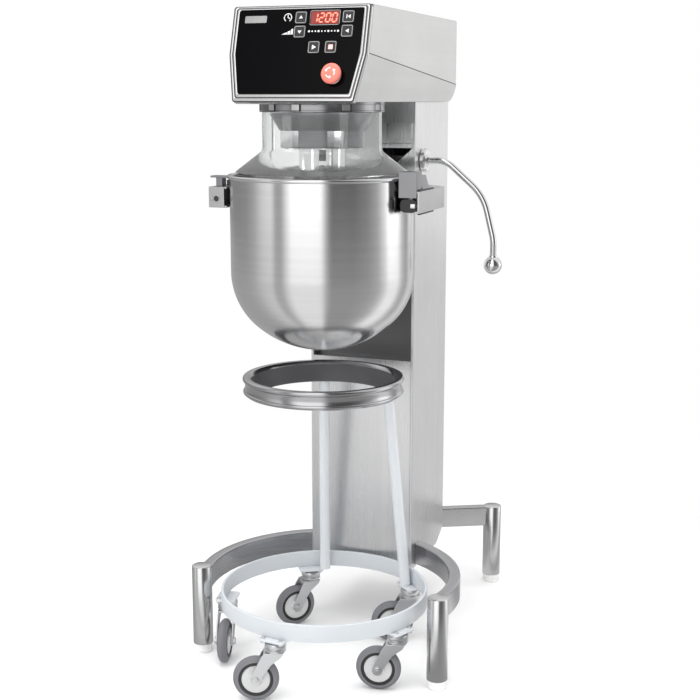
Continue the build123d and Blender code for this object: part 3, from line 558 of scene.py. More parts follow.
KEPT = {
    "head_housing": "head", "column_shell": "column", "column_rear_cover": "column",
    "lower_front_panel": "column", "upper_front_panel": "column", "slide_backplate": "recess",
    "guide_rods": "shaft", "rod_brackets": "recess", "lever_bearing": "shaft",
    "control_glass": "glass", "control_board": "board", "inverter": "drive", "motor_body": "enamel",
    "drive_belt": "belt", "bearing_housing": "cast", "ring_gear": "shaft", "main_shaft": "cast",
    "scraper": "shaft", "tool_spindle": "shaft", "beater": "shaft", "motor_pulley": "cast",
    "lift_carriage": "shaft", "bowl_arms": "arm", "lift_rack": "shaft", "bowl_ears": "ear",
    "lever_shaft": "shaft",
}
EDGES = {"head_housing": 0.8, "column_shell": 0.9, "lower_front_panel": 0.6,
         "upper_front_panel": 0.6, "bowl_arms": 1.6, "bowl_ears": 1.6, "lift_carriage": 1.0, "scraper": 1.5}


def dress_kept_nodes():
    for node, material in KEPT.items():
        part = NODES[node]
        for index in range(len(part.data.materials)):
            part.data.materials[index] = MAT[material]
        if not part.data.materials:
            part.data.materials.append(MAT[material])
        if node in EDGES:
            weld = part.modifiers.new("joined_corners", "WELD")
            weld.merge_threshold = 0.00002
            round_edges(part, EDGES[node], 3)


def key_names():
    return [node for node in NODES if node.startswith("key_")]


# ---------------------------------------------------------------- head

def panel_frame():
    """Matrix of the sloping panel face: X to the right, Y up the slope, Z out of it."""
    low = box_mm("panel_bezel")[0]
    out = Vector((0, -math.cos(PANEL_LEAN), math.sin(PANEL_LEAN)))
    return frame_from((0, low.y, low.z), (1, 0, 0), out)


PANEL = panel_frame()


def on_panel(node):
    """Middle of a node on the panel face, and how far out its front stands."""
    low, high = box_mm(node)
    local = PANEL.inverted() @ ((low + high) / 2)
    fronts = [(PANEL.inverted() @ (v.co / MM)).z for v in NODES[node].data.vertices]
    return local.x, local.y, max(fronts)


HEAD_X, HEAD_LOW_X, HEAD_SHEET, SEAM_GAP = 142.0, 125.0, 2.5, 2.0


def seam_line():
    """Heights of the joint between cover and housing, at the front and at the back."""
    low, high = box_mm("head_cover")
    housing_top = box_mm("head_housing")[1].z
    front = PANEL @ Vector((0, (housing_top - box_mm("head_housing")[0].z) / math.cos(PANEL_LEAN),
                            -BEZEL_DEPTH))
    return (front.y, housing_top), (high.y, low.z)


def make_head_cover():
    """The lift-off cover: a thin folded shell that stands a little off the housing."""
    low, high = box_mm("head_cover")
    (front_y, front_z), (rear_y, rear_z) = seam_line()
    rise = (high.z - box_mm("head_housing")[0].z) / math.cos(PANEL_LEAN)
    top_y = (PANEL @ Vector((0, rise, -BEZEL_DEPTH))).y
    profile = [(front_y, front_z + SEAM_GAP), (rear_y, rear_z + SEAM_GAP), (rear_y, high.z), (top_y, high.z)]
    bm = bmesh.new()
    left = [bm.verts.new((low.x, y, z)) for y, z in profile]
    right = [bm.verts.new((high.x, y, z)) for y, z in profile]
    bm.faces.new(left)
    bm.faces.new(list(reversed(right)))
    bm.faces.new((left[1], left[2], right[2], right[1]))
    bm.faces.new((left[2], left[3], right[3], right[2]))
    bmesh.ops.recalc_face_normals(bm, faces=bm.faces)
    folds = [e for e in bm.edges if len(e.link_faces) == 2]
    bmesh.ops.bevel(bm, geom=folds, offset=4.0, segments=5, profile=0.5, affect="EDGES")
    piece = settle("head_cover_shell", bm, MAT["head"], "machine", "head_sheet")
    if sum(p.normal.z * p.area for p in piece.data.polygons) < 0:
        piece.data.flip_normals()
    wall = piece.modifiers.new("sheet_thickness", "SOLIDIFY")
    wall.thickness = HEAD_SHEET * MM
    wall.offset = -1.0
    weights = piece.modifiers.new("flat_faces_stay_flat", "WEIGHTED_NORMAL")
    weights.keep_sharp = True
    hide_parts("head_cover")
    # Black strips in the seam gap between cover and housing: painted shade of the shadow gap
    bm = bmesh.new()
    inset = 0.9
    for side in (-1, 1):
        outer, inner = side * (HEAD_X - inset), side * (HEAD_X - HEAD_SHEET - 2)
        ends = [(front_y + 1, front_z), (rear_y - inset, rear_z)]
        corners = [bm.verts.new((x, y, z + dz)) for x in (outer, inner) for y,
                   z in ends for dz in (-1.0, 3.5)]
        for a, b, c, d in ((0, 1, 3, 2), (4, 5, 7, 6), (0, 1, 5, 4), (2, 3, 7, 6), (0, 2, 6, 4),
                           (1, 3, 7, 5)):
            bm.faces.new((corners[a], corners[b], corners[c], corners[d]))
    add_block(bm, (inset - HEAD_X, rear_y - 4, rear_z - 1), (HEAD_X - inset, rear_y - inset, rear_z + 3.5))
    settle("cover_seam_shade", bm, MAT["black"], "machine", "black_plastic")


def blend_outlines(outer, inner, share):
    return [(a[0] + (b[0] - a[0]) * share, a[1] + (b[1] - a[1]) * share) for a, b in zip(outer, inner)]


def make_bezel():
    """Pressed steel frame round the glass: rolled outer edge, groove and raised inner lip."""
    top = (box_mm("panel_bezel")[1].z - box_mm("panel_bezel")[0].z) / math.cos(PANEL_LEAN)
    kink = (seam_line()[0][1] - box_mm("panel_bezel")[0].z) / math.cos(PANEL_LEAN)
    half = [(HEAD_LOW_X, 0.0), (HEAD_X, kink), (HEAD_X, top)]
    outer = rounded([(-HEAD_LOW_X, 0.0)] + half + [(-HEAD_X, top), (-HEAD_X, kink)], 5.0)
    inner = rounded(GLASS_OUTLINE, 5.0)
    profile = [(0, -BEZEL_DEPTH), (0, -4.5), (0.05, -2.4), (0.13, -0.9), (0.25, -0.1), (0.40, 0.0),
               (0.46, -0.5),
               (0.49, -2.2), (0.60, -2.2), (0.63, -0.4), (0.70, 0.5), (0.84, 0.7), (0.95, 0.4), (0.995, -0.5),
               (0.995, -BEZEL_DEPTH)]
    bm = bmesh.new()
    loops = []
    for share, height in profile:
        outline = blend_outlines(outer, inner, share)
        loops.append([bm.verts.new(PANEL @ Vector((x, y, height))) for x, y in outline])
    loops.append(loops[0])
    for here, there in zip(loops, loops[1:]):
        for i in range(len(here)):
            j = (i + 1) % len(here)
            bm.faces.new((here[i], here[j], there[j], there[i]))
    piece = settle("panel_frame", bm, MAT["bezel"], "machine", "bezel_steel")
    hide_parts("panel_bezel")
    # Dark strips in the groove and along the rolled outer edge: painted shade in these creases
    for name, low_share, high_share, low_z, high_z in (("frame_groove_shade", 0.47, 0.62, -2.3, -1.5),
                                                       ("frame_edge_shade", 0.012, 0.13, -3.6, -0.75)):
        bm = bmesh.new()
        loops = []
        for share, height in ((low_share, low_z), (low_share, high_z), (high_share, high_z),
                              (high_share, low_z)):
            outline = blend_outlines(outer, inner, share)
            loops.append([bm.verts.new(PANEL @ Vector((x, y, height))) for x, y in outline])
        loops.append(loops[0])
        for here, there in zip(loops, loops[1:]):
            for i in range(len(here)):
                j = (i + 1) % len(here)
                bm.faces.new((here[i], here[j], there[j], there[i]))
        settle(name, bm, MAT["groove"], "machine", "bezel_steel")


def panel_print(name, outlines, material, height, body="machine", slot="key_black", rise=0.35, edge=0.0):
    """Thin printed or inlaid marks on the panel face."""
    bm = bmesh.new()
    for outline in outlines:
        add_prism(bm, outline, height, height + rise, PANEL)
    return settle(name, bm, material, body, slot, edge)


def frame_strips(width, height, r, line, cx, cy):
    """A rounded square outline as one ring-shaped strip, in convex pieces."""
    outer, inner = round_rect(width, height, r, cx, cy), round_rect(width - 2 * line, height - 2 * line,
                                                                   max(r - line, 0.4), cx, cy)
    count = len(outer)
    return [[outer[i], outer[(i + 1) % count], inner[(i + 1) % count], inner[i]] for i in range(count)]


def bar(x0, y0, x1, y1, width):
    start, end = Vector((x0, y0)), Vector((x1, y1))
    across = Vector((-(end - start).y, (end - start).x)).normalized() * width / 2
    return [tuple(start - across), tuple(end - across), tuple(end + across), tuple(start + across)]


def ring_strips(cx, cy, r, line, steps=28, start=0, end=360):
    outer, inner = arc_points(cx, cy, r, start, end, steps), arc_points(cx, cy, r - line, start, end, steps)
    return [[outer[i], outer[i + 1], inner[i + 1], inner[i]] for i in range(steps)]


def make_keys():
    symbols = {
        "key_timer_up": lambda x, y: [[(x - 4, y - 2), (x + 4, y - 2), (x, y + 4)]],
        "key_timer_down": lambda x, y: [[(x - 4, y + 2), (x, y - 4), (x + 4, y + 2)]],
        "key_speed_up": lambda x, y: [[(x + 4.5, y + 4), (x - 1, y), (x + 4.5, y - 4)],
                                      bar(x - 3, y + 4, x - 3, y - 4, 1.8)],
        "key_speed_down": lambda x, y: [[(x + 3.5, y + 4), (x - 3.5, y), (x + 3.5, y - 4)]],
        "key_start": lambda x, y: [[(x - 3.5, y + 5), (x - 3.5, y - 5), (x + 5, y)]],
        "key_stop": lambda x, y: [round_rect(9, 9, 1, x, y)],
    }
    for node in key_names():
        x, y, front = on_panel(node)
        body = node + "_cap"
        cap = NODES[node]
        cap.data.materials[0] = MAT["key"]
        ink = MAT["pink"] if node == "key_stop" else MAT["print"]
        panel_print(node + "_border", frame_strips(22, 22, 3.2, 1.1, x, y), MAT["grey_print"], front, body,
                    rise=0.15)
        panel_print(node + "_symbol", symbols[node](x, y), ink, front, body, rise=0.2)


SEGMENTS = {"0": "abcdef", "1": "bc", "2": "abged", "3": "abgcd", "5": "afgcd", "8": "abcdefg"}


def digit_strokes(text, cx, cy, height):
    """Seven-segment numerals, leaning a little to the right."""
    width, stroke = height * 0.52, height * 0.13
    pitch = width * 1.5
    strokes = []
    for index, numeral in enumerate(text):
        x = cx + (index - (len(text) - 1) / 2) * pitch
        top, middle, low = cy + height / 2, cy, cy - height / 2
        left, right, gap = x - width / 2, x + width / 2, stroke * 0.6
        lines = {
            "a": (left + gap, top, right - gap, top), "b": (right, top - gap, right, middle + gap),
            "c": (right, middle - gap, right, low + gap), "d": (left + gap, low, right - gap, low),
            "e": (left, middle - gap, left, low + gap), "f": (left, top - gap, left, middle + gap),
            "g": (left + gap, middle, right - gap, middle),
        }
        for part in SEGMENTS[numeral]:
            outline = bar(*lines[part], stroke)
            strokes.append([(ox + (oy - cy) * 0.12, oy) for ox, oy in outline])
    return strokes


def make_panel_marks():
    glass_front = on_panel("control_glass")[2]
    cx, cy = DISPLAY_PLACE
    panel_print("display_window", [round_rect(*DISPLAY_SIZE, 2.5, cx, cy)], MAT["window"], glass_front,
                rise=0.3)
    panel_print("display_digits", digit_strokes("1200", cx, cy, 17.0), MAT["digit"], glass_front + 0.3,
                rise=0.15)
    panel_print("display_frame", frame_strips(61, 29, 3.5, 0.9, cx, cy), MAT["grey_print"], glass_front,
                rise=0.3)
    dots = [arc_points(cx - 30 + 6.6 * i, 138.5, 1.5 if i % 3 else 2.1, 0, 340, 12) for i in range(10)]
    panel_print("speed_scale_dots", dots, MAT["print"], glass_front)
    clock = ring_strips(-26, 166.5, 8.4, 1.6, 30, -60, 240) + [bar(-26, 166.5, -26, 172.5, 1.5),
                                                               bar(-26, 166.5, -21.5, 164.5, 1.5)]
    panel_print("clock_mark", clock, MAT["print"], glass_front)
    ramp = [[(-36, 133), (-25, 133), (-25, 137.5)],
            [(-23.5, 133), (-18.8, 133), (-18.8, 140.6), (-23.5, 138.4)],
            [(-17.3, 133), (-12.5, 133), (-12.5, 144.5), (-17.3, 142)]]
    panel_print("speed_ramp_mark", ramp, MAT["print"], glass_front)
    blank = round_rect(*NAMEPLATE_SIZE, 2.0, *NAMEPLATE_PLACE)
    panel_print("blank_nameplate", [blank], MAT["bezel"], glass_front, slot="bezel_steel", rise=0.6)


STOP_SKIRT, STOP_TRAVEL = 12.0, 4.0


def make_estop():
    x, y, front = on_panel("estop_button")
    turn = PANEL @ Matrix.Translation((x, y, 0))
    bm = bmesh.new()
    cap = ([(0, front), (6, front - 0.15), (11, front - 0.8)] + arc_points(14.5, front - 6.6, 5.5, 78, 0, 8)
           + [(19.6, front - 9.4), (18.4, front - 11.6), (15, front - 12), (8, front - 12), (8, -8), (0, -8)])
    add_lathe(bm, cap, 72, turn=turn)
    piece = settle("stop_mushroom", bm, MAT["red"], "estop", "stop_red")
    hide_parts("estop_button")
    bm = bmesh.new()
    for i in range(3):
        tip = 120 * i + 40
        strips = ring_strips(0, 0, 10.2, 2.2, 10, tip - 72, tip - 12)
        strips.append([(r * math.cos(math.radians(a)), r * math.sin(math.radians(a)))
                       for r, a in ((12.6, tip - 14), (5.8, tip - 14), (9.2, tip + 12))])
        for strip in strips:
            add_prism(bm, strip, front - 0.75, front - 0.15, turn)
    settle("stop_twist_arrows", bm, MAT["print"], "estop", "stop_red")
    bm = bmesh.new()
    top = min(front - STOP_SKIRT - STOP_TRAVEL - 0.5, 2.9)
    collar = [(8.6, -0.5), (17, -0.5), (17, top * 0.4), (15.5, top), (9.4, top), (8.6, top - 0.5)]
    add_lathe(bm, collar, 64, turn=turn)
    settle("stop_collar", bm, MAT["shaft"], "machine", "bezel_steel")


GUARD_WALL, FRONT_NECK_R, REAR_NECK_R = 2.5, 122.0, 117.5
FRONT_ARC, REAR_ARC = (-190.0, 200.0), (4.0, 172.0)   # start and sweep of each half, in degrees


def guard_outline(neck_r, neck_z, low, skirt_r, top):
    """A neck, a soft shoulder and a conical skirt with a rolled lower edge."""
    lean = math.atan2(skirt_r - neck_r, neck_z - low)
    normal = (math.cos(lean), math.sin(lean))
    bend = 7.0
    outer = [(neck_r, neck_z + bend), (neck_r + 0.9, neck_z + 2.2), (neck_r + 3.0, neck_z - 2.2)]
    outer += [(skirt_r - 1.2, low + 1.4), (skirt_r - 0.6, low + 0.2)]
    inner = [(skirt_r - 1.8, low), (skirt_r - 3.0, low + 0.3)]
    inner += [(r - GUARD_WALL * normal[0], z - GUARD_WALL * normal[1] * 0.9) for r, z in reversed(outer[1:3])]
    return top + outer + inner + [(neck_r - GUARD_WALL, neck_z + bend - 1.5)]


def make_guard():
    low, high = box_mm("guard_front")
    skirt = -low.x
    top = [(FRONT_NECK_R - GUARD_WALL, high.z), (FRONT_NECK_R + 3.4, high.z),
           (FRONT_NECK_R + 3.4, high.z - 3),
           (FRONT_NECK_R, high.z - 3)]
    shells = [("guard_front", "guard", guard_outline(FRONT_NECK_R, 1105.2, low.z, skirt, top), FRONT_ARC)]
    low, high = box_mm("guard_rear")
    top = [(REAR_NECK_R - GUARD_WALL, high.z), (REAR_NECK_R, high.z)]
    shells.append(("guard_rear", "machine", guard_outline(REAR_NECK_R, 1101.5, low.z, -low.x, top), REAR_ARC))
    for node, body, outline, (start, sweep) in shells:
        bm = bmesh.new()
        add_lathe(bm, outline, 120, start, sweep)
        piece = settle(node + "_shell", bm, MAT["clear"], body, "clear_guard")
        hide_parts(node)


def make_guard_track():
    """The slotted ring under the head that the front guard turns in."""
    low, high = box_mm("guard_ring")
    r, z0, z1 = high.x, low.z, high.z
    band = [(r - 4.4, z0), (r - 0.8, z0), (r, z0 + 0.8), (r, z0 + 3), (r - 0.9, z0 + 3.8), (r - 0.9, z1 - 5),
            (r, z1 - 4), (r, z1), (r - 6.5, z1), (r - 6.5, z0 + 10), (r - 1.3, z0 + 10), (r - 1.3, z0 + 3),
            (r - 4.4, z0 + 3)]
    bm = bmesh.new()
    add_lathe(bm, band)
    ring = settle("guard_track_ring", bm, MAT["track"], "machine", "cast_alloy")
    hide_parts("guard_ring")
    tabs, slots = bmesh.new(), bmesh.new()
    for angle in (-158, -121, -93, -47, -9, 33, 75, 118, 160):
        turn = Matrix.Rotation(math.radians(angle), 4, "Z")
        add_block(tabs, (r - 1.0, -8, z0 + 3.9), (r - 0.05, 8, z1 - 5), turn)
        add_block(slots, (r - 1.0, 8.2, z0 + 1), (r - 0.02, 11.4, z1 - 1), turn)
    settle("track_bright_pads", tabs, MAT["bezel"], "machine", "cast_alloy", 0.3)
    settle("track_dark_slots", slots, MAT["black"], "machine", "black_plastic")


# ---------------------------------------------------------------- planetary head and bowl

# Bright patches on the drum, placed by angle as painted highlights
DRUM_HIGHLIGHT_PLATES = ((-178, 76), (-62, 22), (10, 60), (110, 50))   # start and sweep, in degrees


def make_carrier():
    """Planet carrier: a dark cone over a turned drum whose dark colour is painted shade, with bright plates
    laid on it as painted highlights.
    """
    low, high = box_mm("planet_carrier")
    z, r, top = low.z, high.x, high.z
    drum, step = 86.0, low.z + 34.0
    skin = drum - 1.6
    outline = [(0, z), (skin - 4, z), (skin - 1.5, z + 0.8), (skin, z + 2.5), (skin, step - 1),
               (skin + 0.4, step)]
    bm = bmesh.new()
    add_lathe(bm, outline + [(drum - 8, step), (drum - 8, z + 12), (0, z + 12)])
    piece = settle("carrier_drum", bm, MAT["drum"], "carrier", "cast_alloy")
    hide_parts("planet_carrier")
    bm = bmesh.new()
    for start, sweep in DRUM_HIGHLIGHT_PLATES:
        plate = [(skin - 0.4, z + 1.4), (drum - 0.3, z + 1.4), (drum, z + 1.8), (drum, step - 0.8),
                 (skin - 0.4, step - 0.8)]
        add_lathe(bm, plate, 40, start, sweep)
    settle("drum_highlight_plates", bm, MAT["carrier"], "carrier", "cast_alloy")
    bm = bmesh.new()
    cone = [(drum - 7.9, step + 0.1), (drum + 1.2, step + 0.1), (drum + 2, step + 1), (r - 0.6, top - 3.6),
            (r, top - 2.6), (r, top), (r - 9, top), (r - 10, top - 3)]
    add_lathe(bm, cone)
    settle("carrier_cone", bm, MAT["cone"], "carrier", "cast_alloy")
    bm = bmesh.new()
    for i in range(8):
        angle = math.radians(22.5 + 45 * i)
        spot = Matrix.Translation((74 * math.cos(angle), 74 * math.sin(angle), z - 4))
        add_lathe(bm, [(0, 1.6), (2.6, 1.6), (2.6, 0), (4.6, 0), (5, 0.5), (5, 4.4), (0, 4.4)], 20, turn=spot)
    settle("carrier_screws", bm, MAT["shaft"], "carrier", "shaft_steel")


def bowl_section(low, high, rim_r):
    """Half section of the spun bowl with its rolled rim."""
    wall = 2.5
    body_r, shoulder_r, dome = 190.0, 150.0, 165.0
    side = body_r - shoulder_r
    bottom_r = (side ** 2 + dome ** 2 - shoulder_r ** 2) / (2 * (dome - shoulder_r))
    straight = low.z + dome
    bottom_z = low.z + bottom_r
    turn = math.degrees(math.atan2(bottom_z - straight, side))
    bead = high.z - 4
    outside = arc_points(0, bottom_z, bottom_r, -90, -turn, 22) + arc_points(side, straight, shoulder_r,
                                                                             -turn, 0, 18)[1:]
    roll = arc_points(rim_r - 4.2, bead, 4.2, -110, 150, 16)
    inside = (arc_points(side, straight, shoulder_r - wall, 0, -turn, 18)
              + arc_points(0, bottom_z, bottom_r - wall, -turn, -90, 22)[1:])
    outside[0], inside[-1] = (0, outside[0][1]), (0, inside[-1][1])
    return outside + [(body_r, bead - 6)] + roll + [(body_r - wall, bead - 3)] + inside


def make_bowl():
    low, high = box_mm("mixing_bowl")
    bm = bmesh.new()
    add_lathe(bm, bowl_section(low, high, high.x), 192)
    piece = settle("spun_bowl", bm, MAT["bowl"], "lift", "bowl_steel")
    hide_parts("mixing_bowl")


# ---------------------------------------------------------------- lever

def make_lever():
    low, high = box_mm("lift_lever")
    ball_low, ball_high = box_mm("lever_knob")
    ball = (ball_low + ball_high) / 2
    hub_r = (high.y - low.y) / 2
    y, axis_z = (low.y + high.y) / 2, high.z - hub_r
    drop_x = high.x - 7
    points = [(low.x + 10, y, axis_z), (low.x + 54, y, axis_z), (drop_x - 24, y, 1000), (drop_x, y, 905),
              (drop_x, y, 866)]
    bm = bmesh.new()
    add_tube(bm, smooth_path(points, (55, 110, 90)), 7, 36)
    turn = frame_from((low.x, y, axis_z), (0, 1, 0), (1, 0, 0))
    hub = [(0, 0), (hub_r - 1, 0), (hub_r, 1), (hub_r, 9.5), (hub_r - 2.5, 12), (15, 12.5), (13.5, 14),
           (10.5, 14),
           (9, 17), (0, 17)]
    add_lathe(bm, hub, 72, turn=turn)
    arm = settle("lever_tube", bm, MAT["chrome"], "lever", "chrome")
    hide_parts("lift_lever")
    bm = bmesh.new()
    screw = Matrix.Translation((low.x + 5.5, y, axis_z + hub_r - 1.2))
    add_lathe(bm, [(0, 0), (1.8, 0), (1.8, 1.4), (3.4, 1.4), (3.4, -4), (0, -4)], 24, turn=screw)
    settle("lever_set_screw", bm, MAT["black"], "lever", "chrome")
    bm = bmesh.new()
    r = (ball_high.x - ball_low.x) / 2
    centre = Vector((ball.x, ball.y, ball_low.z + r))
    outline = arc_points(0, 0, r, -90, 62, 26) + [(9.2, r * 0.93), (9.0, r + 1.0), (0, r + 1.0)]
    outline[0] = (0, -r)
    add_lathe(bm, outline, 64, turn=Matrix.Translation(centre))
    knob = settle("lever_ball", bm, MAT["chrome"], "lever", "chrome")
    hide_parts("lever_knob")


# ---------------------------------------------------------------- frame tubes

def make_base_arc():
    low, high = box_mm("base_arc")
    outer = (high.x - low.x) / 2
    centre_y = high.y - outer
    inner = outer - 25
    section = round_rect(outer - inner, high.z - low.z, 3.5, (outer + inner) / 2, (low.z + high.z) / 2, 4)
    bm = bmesh.new()
    add_lathe(bm, section, 128, -14.5, 209.0, Matrix.Translation((0, centre_y, 0)))
    piece = settle("base_horseshoe", bm, MAT["arc"], "machine", "stainless_tube")
    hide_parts("base_arc")


LEG_R, REAR_LEG_X = 22.0, 223.0
ARM_ROOT_Y, COLUMN_BACK_Y = 478.0, 488.0


def leg_centres():
    low, high = box_mm("leg_tubes")
    r = LEG_R
    front = [(high.x - r, low.y + r), (low.x + r, low.y + r)]
    return front + [(REAR_LEG_X, high.y - r), (-REAR_LEG_X, high.y - r)], r, low, high


def make_legs():
    centres, r, low, high = leg_centres()
    tubes, feet = bmesh.new(), bmesh.new()
    for x, y in centres:
        spot = Matrix.Translation((x, y, 0))
        wall = [(0, high.z), (r - 3, high.z), (r - 1, high.z - 0.8), (r, high.z - 2.4), (r, low.z + 0.6),
                (r - 0.6, low.z),
                (r - 3, low.z), (r - 3, low.z + 30), (0, low.z + 30)]
        add_lathe(tubes, wall, 72, turn=spot)
        foot = [(0, 0), (r - 4, 0), (r - 2.4, 1.4), (r - 2, 3), (r - 2, 9), (r - 3, 10), (r - 3, 11),
                (r - 2, 12),
                (r - 2, 19.8), (8, 19.8), (6, 21), (6, 60), (0, 60)]
        add_lathe(feet, foot, 72, turn=spot)
    tube = settle("foot_tubes", tubes, MAT["tube"], "machine", "stainless_tube")
    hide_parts("leg_tubes")
    foot = settle("nylon_feet", feet, MAT["white"], "machine", "white_plastic")
    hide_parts("levelling_feet")


def make_rear_arms():
    low, high = box_mm("rear_arms")
    centres, r, _, _ = leg_centres()
    bm = bmesh.new()
    for x, y in centres[2:]:
        along = Vector((x, y - ARM_ROOT_Y, 0))
        turn = frame_from((x, y, 0), along, (0, 0, 1))
        reach = along.length
        keep = (COLUMN_BACK_Y - ARM_ROOT_Y) / along.normalized().y
        section = [(-reach + keep - 8, -12.5), (-r + 4, -12.5), (-r + 4, 12.5), (-reach + keep - 8, 12.5)]
        add_prism(bm, section, low.z, high.z, turn)
    piece = settle("rear_beams", bm, MAT["arm"], "machine", "stainless_tube", 3.2, 4)
    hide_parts("rear_arms")


def make_arm_ends():
    """End plates, latch plate and pin on the two arms that carry the bowl, with painted shade in the left
    end's hole and in the right end's channel, and painted shadow strips along the right arm.
    """
    low, high = box_mm("bowl_arms")
    front, x = low.y, high.x
    middle = (low.z + high.z) / 2
    bm = bmesh.new()
    add_block(bm, (-x + 0.5, front - 1.6, low.z + 0.8), (-x + 35, front + 0.1, high.z - 0.8))
    hole = frame_from((-x + 18, front - 1.6, middle - 3), (1, 0, 0), (0, -1, 0))
    add_lathe(bm, [(5.6, 0), (7.8, 0), (7.4, 1.2), (5.6, 1.2)], 32, turn=hole)
    bolt = frame_from((-x + 7.5, front - 1.6, middle - 3), (1, 0, 0), (0, -1, 0))
    add_lathe(bm, [(0, 0), (4, 0), (4, 1.6), (3.2, 2.4), (0, 2.4)], 24, turn=bolt)
    settle("left_arm_end_plate", bm, MAT["arm"], "lift", "stainless_tube", 0.5)
    # Black disc in the ring: painted shade inside the end's hole
    bm = bmesh.new()
    add_lathe(bm, [(0, 0), (5.8, 0), (5.8, 0.5), (0, 0.5)], 32, turn=hole)
    settle("left_arm_end_hole_shade", bm, MAT["black"], "lift", "black_plastic")
    bm = bmesh.new()
    add_block(bm, (x - 42, front - 1.6, high.z - 13), (x - 5, front + 1, high.z + 37))
    settle("right_arm_latch_plate", bm, MAT["ear"], "lift", "stainless_tube", 0.6)
    # Black rounded plate behind the pin: painted shade of the dark channel in the right arm's end
    bm = bmesh.new()
    hook = [(u + x - 22, v + middle - 7) for u, v in round_rect(33, 26, 9)]
    turn = frame_from((0, front - 2.4, 0), (1, 0, 0), (0, -1, 0))
    add_prism(bm, hook, -3.4, 0, turn)
    settle("right_arm_end_shade", bm, MAT["black"], "lift", "black_plastic", 1.0)
    bm = bmesh.new()
    add_block(bm, (x - 17, front - 6.2, middle - 11), (x - 7, front - 2, middle - 2))
    settle("right_arm_latch_pin", bm, MAT["chrome"], "lift", "chrome", 1.2)
    # Black strips along the top and bottom of the right arm: painted shadow lines under its flanges
    bm = bmesh.new()
    for z in (high.z - 0.2, low.z - 2.6):
        add_block(bm, (x - 5, front + 4, z), (x + 0.6, front + 96, z + 2.8))
    settle("right_arm_shadow_strips", bm, MAT["black"], "lift", "black_plastic", 0.5)


def make_screws():
    low, high = box_mm("cover_screws")
    bm = bmesh.new()
    spots = [(sx * 108, COLUMN_BACK_Y, z) for sx in (1, -1) for z in (205, 520, 840, 1165)]
    spots += [(sx * 120, 486, z) for sx in (1, -1) for z in (1272, 1355)]
    for spot in spots:
        turn = frame_from(spot, (1, 0, 0), (0, 1, 0))
        head = [(0, 1.0), (1.7, 1.0), (1.9, 2.5), (2.6, 2.45), (3.8, 1.8), (4.5, 0.6), (4.5, 0), (0, 0)]
        add_lathe(bm, head, 24, turn=turn)
    piece = settle("cover_button_screws", bm, MAT["shaft"], "machine", "shaft_steel")
    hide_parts("cover_screws")
    low, high = box_mm("cable_gland")
    centre = ((low.x + high.x) / 2, low.y, (low.z + high.z) / 2)
    turn = frame_from(centre, (1, 0, 0), (0, 1, 0))
    bm = bmesh.new()
    add_prism(bm, hexagon(25.4), 0, 8, turn)
    ribs = [(5, 24), (7.5, 24), (9.8, 22.5), (11, 19.5), (11, 8), (5, 8), (5, 12), (4.6, 12), (4.6, 20)]
    add_lathe(bm, ribs, 48, turn=turn)
    gland = settle("inlet_gland", bm, MAT["black"], "machine", "black_plastic", 0.6)
    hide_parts("cable_gland")


# ---------------------------------------------------------------- trolley

def make_seat_ring():
    low, high = box_mm("seat_ring")
    z0, z1, r = low.z + 6, high.z, high.x
    outline = [(r - 18.6, z1 - 5.6), (r - 17.4, z1 - 4.2), (r - 14.4, z1 - 0.9), (r - 13.6, z1 - 0.3),
               (r - 12.6, z1)]
    outline += arc_points(r - 5, z1 - 5, 5, 90, -50, 10)
    outline += [(r - 4.4, z1 - 11.6), (r - 5, z1 - 14), (r - 5, z0 + 13)]
    outline += arc_points(r - 4.6, z0 + 6.4, 3.6, 75, -90, 8) + [(r - 7, z0), (r - 8, z1 - 9),
                                                                 (r - 15, z1 - 9)]
    outline += [(r - 29.6, z0 + 1), (r - 31, z0 - 5.6), (r - 32, z0 - 6), (r - 33, z0 - 5.4),
                (r - 32.4, z0 + 1.6)]
    bm = bmesh.new()
    add_lathe(bm, outline)
    piece = settle("seat_rim", bm, MAT["seat"], "trolley", "chrome")
    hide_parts("seat_ring")
    # Dark band on the inner slope of the rim: painted shade where the bowl darkens the seat ring
    bm = bmesh.new()
    add_lathe(bm, [(r - 18.8, z1 - 7.6), (r - 20.0, z1 - 7.6), (r - 34.0, z0 + 1), (r - 34.2, z0 - 4.4),
                   (r - 33.0, z0 - 5.6), (r - 32.6, z0 + 1.8)])
    settle("seat_rim_shade_band", bm, MAT["seat_rim_shade"], "trolley", "chrome")


def caster_pivot(number):
    joint = JOINTS[f"caster_{number}_swivel"]
    return Vector(joint["pos_m"]) / MM


def caster_heading(number):
    axle = Vector(JOINTS[f"wheel_{number}_roll"]["axis"])
    return Vector((axle.y, -axle.x, 0))


